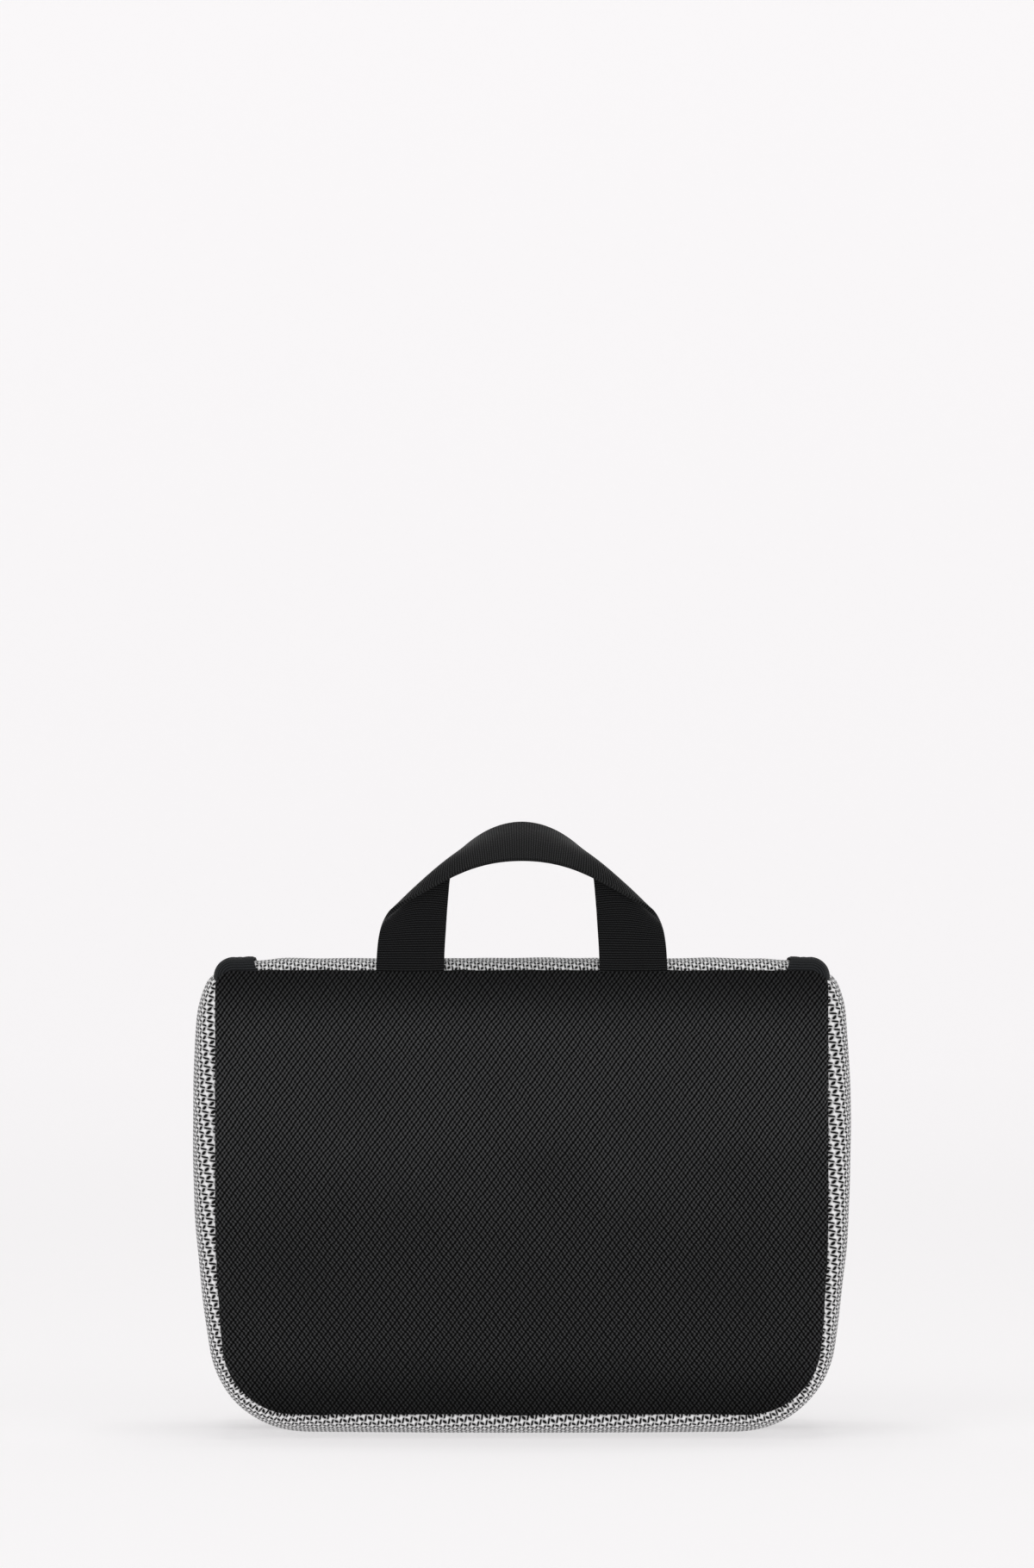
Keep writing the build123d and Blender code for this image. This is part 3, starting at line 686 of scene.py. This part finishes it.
for before, after in zip(rows, rows[1:]):
    lengths.append(lengths[-1] + (Vector(after[1]) - Vector(before[1])).length)
bm = bmesh.new()
bmesh.ops.create_grid(bm, x_segments=len(rows) - 1, y_segments=2, size=1)
spots = {}
for vert in bm.verts:
    row = round((vert.co.x + 1) / 2 * (len(rows) - 1))
    rail = round(vert.co.y + 1)
    spots[vert] = (lengths[row], rail * webbing_wide / 2)
    vert.co = scaled(rows[row][rail])
lay(bm, lambda vert: spots[vert][0], lambda vert: spots[vert][1])
handle = make("carry_handle_webbing", bm, webbing, wall=1.5, side=0.0, smooth=3, sharp=60)
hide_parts("handle_webbing", "handle_leg_ends")
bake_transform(handle)

# ---- main zip ----
# A woven tape along the edge of each gusset carries moulded teeth that mesh round the sides and the floor.
# The lid's teeth stand half a pitch on from the main half's, so that they fit between them.
tape_finish = ribbed("zip_tape_weave", grey(16), grey(44), 0.6)
teeth_finish = Finish("moulded_teeth", {"Roughness": 0.38, "Specular IOR Level": 0.5})
x, y, z = teeth_finish.place()
scuff = teeth_finish.cloud((x, y, z), 2.2, 4)
teeth_finish.coat(
    colour=teeth_finish.mix(teeth_finish.fade(scuff, -0.1, 0.4), grey(22), grey(44)),
    roughness=0.36 + 0.3 * teeth_finish.fade(scuff, 0.0, 0.4),
    height=0.02 * scuff,
)
zip_outline = Outline(widest=108, middle=36.6, side_radius=200, corner_radius=32, floor=4.6, upright=True)
zip_top = 158.0
zip_length = zip_outline.along(zip_outline.widest, zip_top)
tooth_pitch = 1.5
tooth_size = (0.86, 3.2, 2)
tooth_off_centre = 1.3
tape_edge, tape_wide = 2.4, 7.2


def toothed(bm, place, side):
    """Add one tooth at a place: a narrow head that reaches past the middle of the chain and a wider foot."""
    shape = Matrix.Diagonal((*scaled(tooth_size), 1))
    verts = bmesh.ops.create_cube(bm, size=1, matrix=shape)["verts"]
    for vert in verts:
        if vert.co.y * side < 0:
            vert.co.x *= 0.72
            vert.co.z *= 0.8
    bmesh.ops.transform(bm, matrix=place, verts=verts)


for body, half, shift in (("main", -1, 0.0), ("lid", 1, 0.5)):
    inner, outer = hinge_y + half * tape_edge, hinge_y + half * (tape_edge + tape_wide)
    bm = sweep([(0, inner), (0.1, (inner + outer) / 2), (0, outer)], zip_outline, zip_top)
    outwards(bm, (0, hinge_y, 90))
    draw_in(bm)
    tape = f"zip_tape_{body}"
    make(tape + "_weave", bm, tape_finish, body, (tape,), wall=0.6, side=0.0)
    bm = bmesh.new()
    count = int(zip_length / tooth_pitch)
    for i in range(-count, count + 1):
        distance = (i + shift) * tooth_pitch
        if abs(distance) > zip_length:
            continue
        spot = zip_outline.place(distance)
        spot.translation *= mm
        across = Matrix.Translation((0, (hinge_y + half * tooth_off_centre) * mm, 0))
        toothed(bm, across @ spot, half)
    outwards(bm, (0, hinge_y, 90))
    draw_in(bm)
    teeth = f"zip_teeth_{body}"
    make(teeth + "_row", bm, teeth_finish, body, (teeth,), sharp=30)

# ---- sliders and pullers ----
# Cast zip sliders with their tabs, one of each on the main zip and on the lid's pocket. They keep the frame's
# shapes, in a dark lacquer that is worn in spots.
metal = Finish("dark_lacquer", {"Metallic": 0.85, "Roughness": 0.35})
x, y, z = metal.place()
wear = metal.cloud((x, y, z), 1.6, 5)
metal.coat(
    colour=metal.mix(metal.fade(wear, 0.05, 0.35), grey(52), grey(120)),
    roughness=0.3 + 0.35 * metal.fade(wear, -0.2, 0.4),
    height=0.015 * wear,
)


def dress(node, finish):
    """Give a CAD piece its finish."""
    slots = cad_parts[node].data.materials
    slots.clear()
    slots.append(finish.material)


for node in ("main_zip_slider", "main_zip_puller", "pocket_zip_slider", "pocket_zip_puller"):
    dress(node, metal)


# ---- linings ----
# Smooth black lining inside each panel, round each gusset and under the top strip, sewn into the seams at its
# edges, with the small wrinkles of sewn cloth.
def plain_weave(name, base, thread, pitch):
    """Fine threads that cross one over one, with soft creases."""
    finish = Finish(name, {"Sheen Weight": 0.06, "Sheen Roughness": 0.35, "Specular IOR Level": 0.45})
    u, v = finish.cloth()
    sway = finish.cloud((u, v), 12)
    warp = ((u + sway) / pitch * 2 * math.pi).of("SINE")
    weft = ((v + sway) / pitch * 2 * math.pi).of("SINE")
    crease = finish.cloud((u, v), 16, 3)
    crossing = warp * weft
    # Partly painted shade: following the bump height, the colour is darker where the threads and the soft
    # creases dip and lighter where they rise.
    colour = finish.mix(finish.fade(crossing + crease, -1.0, 1.0), base, thread)
    height = 0.035 * crossing + 0.5 * crease
    return finish.coat(colour=colour, height=height, roughness=0.5 + 0.1 * crossing)


lining = plain_weave("smooth_lining", grey(34, -1), grey(62, -2), 0.5)
lining_outline = Outline(widest=107.5, middle=106, side_radius=492.5, corner_radius=28.5, floor=7.5)
lining_top, lining_depth = 159.5, 44.9
for body, name, side in (("main", "back", -1), ("lid", "front", 1)):
    bm = sheet(lining_outline, lining_top, 3.0, side * lining_depth)
    outwards(bm, (0, side * 80, 80))
    ripple(bm, 30, 0.5, 11.0 + side)
    facing = make(f"{name}_lining_cloth", bm, lining, body, (f"{name}_lining",), wall=0.5)

inner_outline = Outline(widest=113, middle=106, side_radius=498, corner_radius=34, floor=2)
main_side = [(-7, -44.4), (-3.6, -43.4), (-1.2, -40.5), (-0.3, -36), (0, -26), (-0.2, -14)]
main_side += [(-0.6, -4), (-1.6, 0.6)]
lid_side = [(-2.4, 22.9), (-0.8, 25), (-0.2, 30), (-0.1, 36), (-1.2, 40.5), (-3.6, 43.4), (-7, 44.4)]
for body, node, section, seed in (
    ("main", "main_side_lining", main_side, 1.0),
    ("lid", "lid_side_lining", lid_side, 2.0),
):
    bm = sweep(section, inner_outline, 159.0)
    outwards(bm, (0, section[len(section) // 2][1], 90))
    ripple(bm, 14, 0.3, seed)
    draw_in(bm)
    make(node + "_cloth", bm, lining, body, (node,), wall=0.4, smooth=1)

hinge_lining_section = [(-44, 160.5), (-43.6, 162.8), (-41, 163.9), (-34, 164.3), (-20, 163.7), (-4, 163.2)]
hinge_lining_section += [(8, 163.0), (16, 163.0), (28, 163.0), (40, 163.1), (43.4, 162), (44, 160)]
bm = top_band(hinge_lining_section, 104.0, 3.0)
ripple(bm, 15, 0.3, 6.0)
fold_over(make("top_lining_cloth", bm, lining, wall=0.4, smooth=1))

# ---- elastic loops ----
# A wide ribbed elastic for brushes and tubes. It is sewn flat to the back lining between four half-round
# loops, which stand open from it.
elastic = ribbed("ribbed_elastic", grey(20), grey(54), 1.1)
loops_low, loops_high = (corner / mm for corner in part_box("elastic_loops"))
loop_radius, loop_pitch, loop_count = 12.6, 40.0, 4
band_face = loops_low.y + 0.4
first_loop = -(loop_count - 1) / 2 * loop_pitch
bm = bmesh.new()
across = bm.verts.layers.float.new("across")
elastic_rows = [loops_low.z + (loops_high.z - loops_low.z) * i / 8 for i in range(9)]
start = chain(bm, [(loops_low.x, band_face, height) for height in elastic_rows], across)
way = []
x = loops_low.x
for i in range(loop_count):
    centre = first_loop + i * loop_pitch
    run = centre - loop_radius - x
    way.append(((0, 0, 0), 0, (run, 0, 0), run))
    way.append(((centre, band_face, 0), -math.pi, (0, 0, 0), loop_radius * math.pi))
    x = centre + loop_radius
way.append(((0, 0, 0), 0, (loops_high.x - x, 0, 0), loops_high.x - x))
drive(bm, start, way, (0, 0, 1), 1.6)
lay(bm, lambda vert: (vert.co.x + vert.co.y) / mm, lambda vert: vert[across])
bmesh.ops.recalc_face_normals(bm, faces=bm.faces)
make("elastic_loops_band", bm, elastic, "main", ("elastic_loops",), wall=0.8, side=0.0)


# ---- mesh pocket ----
# Open net gathered under a wide elastic edge, standing off the back lining below the loops. It comes out at
# both sides, turns round a small corner and runs across the front, pleated a little under the edge.
def net(name, pitch, thread):
    """Open net: round holes in staggered rows."""
    finish = Finish(name, {"Roughness": 0.6})
    u, v = finish.cloth()
    high = pitch * 0.866
    row = (v / high).of("FLOOR")
    x = ((u / pitch + row * 0.5).of("FRACT") - 0.5) * pitch
    y = (v / high - row - 0.5) * high
    off = (x * x + y * y * 0.85).of("SQRT")
    solid = finish.fade(off, pitch / 2 - thread, pitch / 2 - thread * 0.6)
    twist = ((u + v) / 0.35 * 2 * math.pi).of("SINE")
    # Painted highlight and shade along the twist of the threads: lighter on its ridges and darker between them.
    colour = finish.mix(finish.fade(twist, -1, 1), grey(16), grey(50))
    return finish.coat(colour=colour, alpha=solid, height=0.05 * twist + 0.1 * solid)


net_finish = net("black_net", 1.9, 0.42)
pocket_low, pocket_high = (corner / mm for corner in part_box("mesh_pocket"))
pocket_bend = 5.0


def round_front(bm, start, half, back, front):
    """Draw from the back lining out to the front wall, across it and back again."""
    run = front - back - pocket_bend
    across = 2 * (half - pocket_bend)
    way = [
        ((0, 0, 0), 0, (0, run, 0), run),
        ((-half + pocket_bend, front - pocket_bend, 0), -math.pi / 2, (0, 0, 0), pocket_bend * math.pi / 2),
        ((0, 0, 0), 0, (across, 0, 0), across),
        ((half - pocket_bend, front - pocket_bend, 0), -math.pi / 2, (0, 0, 0), pocket_bend * math.pi / 2),
        ((0, 0, 0), 0, (0, -run, 0), run),
    ]
    drive(bm, start, way, (0, 0, 1), 2.5)


def round_measure(vert, half, front):
    """Distance round the pocket's wall from its middle."""
    side = 1 if vert.co.x > 0 else -1
    return vert.co.x / mm + side * (front - vert.co.y / mm)


pocket_half, pocket_back, pocket_front = pocket_high.x - 0.4, pocket_low.y + 0.2, pocket_high.y - 0.4
bm = bmesh.new()
across = bm.verts.layers.float.new("across")
net_rows = [pocket_low.z + 0.6 + (pocket_high.z - pocket_low.z) * i / 14 for i in range(15)]
start = chain(bm, [(-pocket_half, pocket_back, height) for height in net_rows], across)
round_front(bm, start, pocket_half, pocket_back, pocket_front)
for vert in bm.verts:
    share = vert[across] / (pocket_high.z - pocket_low.z)
    reach = (vert.co.y / mm - pocket_back) / (pocket_front - pocket_back)
    slack = math.sin(math.pi * share) * (0.8 + 0.6 * noise.noise(vert.co / (24 * mm)))
    pleat = math.cos(vert.co.x / mm / 9 * math.pi) * 0.5 * share**2
    vert.co.y -= (slack + pleat + 0.4) * reach * mm
lay(bm, lambda vert: round_measure(vert, pocket_half, pocket_front), lambda vert: vert[across])
bmesh.ops.recalc_face_normals(bm, faces=bm.faces)
pouch = make("mesh_pocket_net", bm, net_finish, "main", ("mesh_pocket",), wall=0.3, side=0.0)

band_low, band_high = (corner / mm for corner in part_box("mesh_pocket_band"))
bm = bmesh.new()
across = bm.verts.layers.float.new("across")
band_rows = [band_low.z + (band_high.z - band_low.z) * i / 6 for i in range(7)]
start = chain(bm, [(-band_high.x + 0.7, pocket_back, height) for height in band_rows], across)
round_front(bm, start, band_high.x - 0.7, pocket_back, band_high.y - 0.7)
for vert in bm.verts:
    vert.co.y += math.cos(vert.co.x / mm / 4.5 * math.pi) * 0.12 * mm
lay(bm, lambda vert: round_measure(vert, pocket_half, pocket_front), lambda vert: vert[across])
bmesh.ops.recalc_face_normals(bm, faces=bm.faces)
make("mesh_pocket_edge", bm, elastic, "main", ("mesh_pocket_band",), wall=1.4, side=0.0, smooth=1)

# ---- zip pocket in the lid ----
# A flat pocket on the lid's lining: a frame bound in tape, a stretched net face and a short zip along its
# upper edge, with a tape on each side of the teeth.
binding_low, binding_high = (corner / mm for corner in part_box("pocket_binding"))
binding_finish = ribbed("edge_binding", grey(18), grey(40), 0.7)


def ring(bm, section, low, high, corner, step):
    """Draw a section, in inwards and depth, round a rectangle with round corners."""
    across = bm.verts.layers.float.new("across")
    middle = (low[1] + high[1]) / 2
    points = [(high[0] - inwards, depth, middle) for inwards, depth in section]
    start = chain(bm, points, across)
    wide, tall = high[0] - low[0] - 2 * corner, high[1] - low[1] - 2 * corner
    turn = math.pi / 2
    arc = corner * turn
    way = [
        ((0, 0, 0), 0, (0, 0, -tall / 2), tall / 2),
        ((high[0] - corner, 0, low[1] + corner), turn, (0, 0, 0), arc),
        ((0, 0, 0), 0, (-wide, 0, 0), wide),
        ((low[0] + corner, 0, low[1] + corner), turn, (0, 0, 0), arc),
        ((0, 0, 0), 0, (0, 0, tall), tall),
        ((low[0] + corner, 0, high[1] - corner), turn, (0, 0, 0), arc),
        ((0, 0, 0), 0, (wide, 0, 0), wide),
        ((high[0] - corner, 0, high[1] - corner), turn, (0, 0, 0), arc),
        ((0, 0, 0), 0, (0, 0, -tall / 2), tall / 2),
    ]
    drive(bm, start, way, (0, 1, 0), step)
    lay(bm, lambda vert: (vert.co.x + vert.co.z) / mm, lambda vert: vert[across])
    bmesh.ops.remove_doubles(bm, verts=bm.verts, dist=0.01 * mm)
    bmesh.ops.recalc_face_normals(bm, faces=bm.faces)


face_y, back_y = binding_low.y, binding_high.y
rim_section = [(0.3, back_y), (0, back_y - 2.4), (0.5, face_y + 0.5), (2, face_y + 0.1)]
rim_section += [(3.5, face_y + 0.5), (4, back_y - 2.4), (3.7, back_y), (0.3, back_y)]
bm = bmesh.new()
ring(bm, rim_section, (binding_low.x, binding_low.z), (binding_high.x, binding_high.z), 4.2, 2.5)
make("pocket_binding_tape", bm, binding_finish, "lid", ("pocket_binding",), smooth=1)

net_low, net_high = (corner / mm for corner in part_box("pocket_mesh"))


def wall_cloth(rectangles, depth, slack, seed):
    """Rectangles of cloth across the bag, each of which gives a little between its edges."""
    bm = bmesh.new()
    step, lump_size = 3, 22
    for left, low, right, high in rectangles:
        wide, tall = right - left, high - low
        columns, rows = max(round(wide / step), 1), max(round(tall / step), 1)
        made = bmesh.ops.create_grid(bm, x_segments=columns, y_segments=rows, size=0.5)
        for vert in made["verts"]:
            a, b = vert.co.x + 0.5, vert.co.y + 0.5
            give = slack * math.sin(math.pi * a) * math.sin(math.pi * b)
            lump = noise.noise(Vector((a * wide / lump_size, b * tall / lump_size, seed))) * slack * 0.5
            give += lump * min(a, 1 - a, b, 1 - b) * 4
            vert.co = scaled((left + a * wide, depth + give, low + b * tall))
    lay(bm, lambda vert: vert.co.x / mm, lambda vert: vert.co.z / mm)
    outwards(bm, (0, depth + 50, 80))
    return bm


net_face = (net_low.x + 1.5, net_low.z + 1.5, net_high.x - 1.5, net_high.z)
bm = wall_cloth([net_face], (net_low.y + net_high.y) / 2, 1.0, 4)
pocket_net = make("pocket_net", bm, net_finish, "lid", ("pocket_mesh",), wall=0.3, side=0.0)

chain_z = 70.0
chain_half = 2.2  # clear between the chain's middle and each tape
chain_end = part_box("pocket_zip_teeth")[1].x / mm
tape_low, tape_high = (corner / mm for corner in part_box("pocket_zip_tape"))
tape_y = (tape_low.y + tape_high.y) / 2
tape_left, tape_right = tape_low.x + 1, tape_high.x - 1
tape_halves = [
    (tape_left, tape_low.z, tape_right, chain_z - chain_half),
    (tape_left, chain_z + chain_half, tape_right, tape_high.z),
]
bm = wall_cloth(tape_halves, tape_y, 0.15, 5)
make("pocket_zip_tape_weave", bm, tape_finish, "lid", ("pocket_zip_tape",), wall=0.6, side=0.0)
bm = bmesh.new()
count = int(chain_end / tooth_pitch)
upright = Matrix.Rotation(math.pi / 2, 4, "X")
for side, shift in ((-1, 0.0), (1, 0.5)):
    for i in range(-count, count):
        tooth_z = chain_z + side * tooth_off_centre
        spot = Matrix.Translation(scaled(((i + shift) * tooth_pitch, tape_y, tooth_z)))
        toothed(bm, spot @ upright, side)
outwards(bm, (0, 60, chain_z))
make("pocket_zip_teeth_row", bm, teeth_finish, "lid", ("pocket_zip_teeth",), sharp=30)

# ---- mirror ----
# A light silvered mirror in a moulded frame. A patch of touch fastener behind it pulls off its partner, which
# is sewn to the lid's lining.
plastic = Finish("moulded_plastic", {"Specular IOR Level": 0.5})
x, y, z = plastic.place()
grain_noise = plastic.cloud((x, y, z), 0.45, 4)
smudge = plastic.cloud((x, y, z), 14, 3)
plastic.coat(
    colour=plastic.mix(plastic.fade(smudge, -0.2, 0.4), grey(28), grey(40)),
    roughness=0.4 + 0.3 * plastic.fade(smudge, -0.2, 0.4),
    height=0.03 * grain_noise,
)
mirror_low, mirror_high = (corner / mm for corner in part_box("mirror_frame"))
front, back = mirror_low.y, mirror_high.y
glass_edge = 12
frame_section = [(glass_edge, back - 0.1), (0.8, back - 0.1), (0, back - 0.9), (0, front + 0.9)]
frame_section += [(0.9, front), (3.0, front), (3.9, front + 0.7), (4.0, front + 2.0), (glass_edge, front + 2.0)]
bm = bmesh.new()
ring(bm, frame_section, (mirror_low.x, mirror_low.z), (mirror_high.x, mirror_high.z), 8.0, 1.6)
for depth in (back - 0.1, front + 2.0):
    rim = [e for e in bm.edges if e.is_boundary and all(abs(v.co.y / mm - depth) < 0.01 for v in e.verts)]
    bmesh.ops.edgeloop_fill(bm, edges=rim)
bmesh.ops.recalc_face_normals(bm, faces=bm.faces)
make("mirror_frame_shell", bm, plastic, "mirror", ("mirror_frame",), sharp=35)

glass = Finish("silvered_glass", {"Metallic": 1.0, "Base Color": grey(236, -1), "Roughness": 0.03})
x, y, z = glass.place()
touch = glass.cloud((x, y, z), 11, 4)
glass.coat(roughness=0.02 + 0.06 * glass.fade(touch, 0.05, 0.5))
dress("mirror_glass", glass)

fuzz = Finish("touch_fastener_loops", {"Sheen Weight": 0.5, "Specular IOR Level": 0.2})
x, y, z = fuzz.place()
tuft = fuzz.cloud((x, y, z), 0.8, 4)
fuzz.coat(
    colour=fuzz.mix(fuzz.fade(tuft, -0.2, 0.3), grey(12), grey(50)),
    roughness=0.85 + 0.1 * tuft,
    height=0.4 * tuft,
)
for node in ("mirror_patch", "lid_patch"):
    dress(node, fuzz)

# ---- hook ----
# Webbing sewn to the lid's free edge, folded up inside the shut bag, with a moulded hook on its end that
# swivels in its socket. The webbing bends between its sewn root and its free end.
strap_low, strap_high = (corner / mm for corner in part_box("hook_strap"))
root_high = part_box("hook_strap_root")[1] / mm
strap_y = (strap_low.y + strap_high.y) / 2
root_z = root_high.z - 0.6
fold = 1.5
bm = bmesh.new()
across = bm.verts.layers.float.new("across")
strap_half = strap_high.x
start = chain(bm, [(strap_half * (i / 4 - 1), root_high.y - 0.3, root_z) for i in range(9)], across)
run = root_high.y - 0.3 - strap_y - fold
rise = strap_high.z - root_z - fold
way = [
    ((0, 0, 0), 0, (0, -run, 0), run),
    ((0, strap_y + fold, root_z + fold), -math.pi / 2, (0, 0, 0), fold * math.pi / 2),
    ((0, 0, 0), 0, (0, 0, rise), rise),
]
drive(bm, start, way, (1, 0, 0), 1.2)
lay(bm, lambda vert: (vert.co.z - vert.co.y) / mm, lambda vert: vert[across])
bmesh.ops.recalc_face_normals(bm, faces=bm.faces)
strap = make("hook_strap_webbing", bm, webbing, wall=1.1, side=0.0, sharp=60)
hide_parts("hook_strap", "hook_strap_root")
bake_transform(strap)
for node in ("hook_socket", "hook"):
    dress(node, plastic)

# ---- floor and light ----
# A pale seamless floor that curves up into a round backdrop, under three large soft lights and an even room.
# The paper glows a little, more so far from the bag, so that it stays even.
paper_even = {"Base Color": (0.48, 0.474, 0.477, 1), "Roughness": 0.9, "Specular IOR Level": 0.0}
paper_even["Emission Strength"] = 1.0
paper = Finish("pale_paper", paper_even)
x, y, _ = paper.place()
far_out = paper.fade((x * x + y * y).of("SQRT"), 300, 3000)
paper.lead("Emission Color", paper.mix(far_out, (0.556, 0.547, 0.551, 1), (0.655, 0.644, 0.65, 1)))
bowl_radius, bowl_curve, bowl_height = 5500, 1800, 2600
bm = bmesh.new()
across = bm.verts.layers.float.new("across")
start = chain(bm, [(0, 0, 0), (bowl_radius - bowl_curve, 0, 0)], across)
rim = [item for item in start[:2] if item.co.x > 0]
way = [
    ((bowl_radius - bowl_curve, 0, bowl_curve), -math.pi / 2, (0, 0, 0), bowl_curve * math.pi / 2),
    ((0, 0, 0), 0, (0, 0, bowl_height - bowl_curve), bowl_height - bowl_curve),
]
drive(bm, rim, way, (0, 1, 0), 150)
profile = bm.verts[:] + bm.edges[:]
bmesh.ops.spin(
    bm, geom=profile, cent=(0, 0, 0), axis=(0, 0, 1), angle=math.tau, steps=128, use_merge=True
)
bmesh.ops.remove_doubles(bm, verts=bm.verts, dist=0.01 * mm)
for face in bm.faces:
    face.smooth = True
mesh = bpy.data.meshes.new("backdrop")
bm.to_mesh(mesh)
bm.free()
mesh.materials.append(paper.material)
backdrop = bpy.data.objects.new("backdrop", mesh)
scene.collection.objects.link(backdrop)

world = bpy.data.worlds.new("soft_room")
scene.world = world
world.use_nodes = True
world.node_tree.nodes["Background"].inputs["Color"].default_value = (1, 1, 1, 1)
world.node_tree.nodes["Background"].inputs["Strength"].default_value = 0.3
for name, place, size, power in (
    ("key", (-1.4, -2.2, 2.2), 1.6, 12),
    ("fill", (1.8, -2.0, 1.4), 1.6, 6),
    ("top", (0.0, 0.1, 2.4), 1.2, 17),
):
    lamp_data = bpy.data.lights.new(name, "AREA")
    lamp_data.size = size
    lamp_data.energy = power
    lamp = bpy.data.objects.new(name, lamp_data)
    lamp.location = place
    lamp.rotation_euler = (Vector((0, 0, 0.1)) - Vector(place)).to_track_quat("-Z", "Y").to_euler()
    scene.collection.objects.link(lamp)
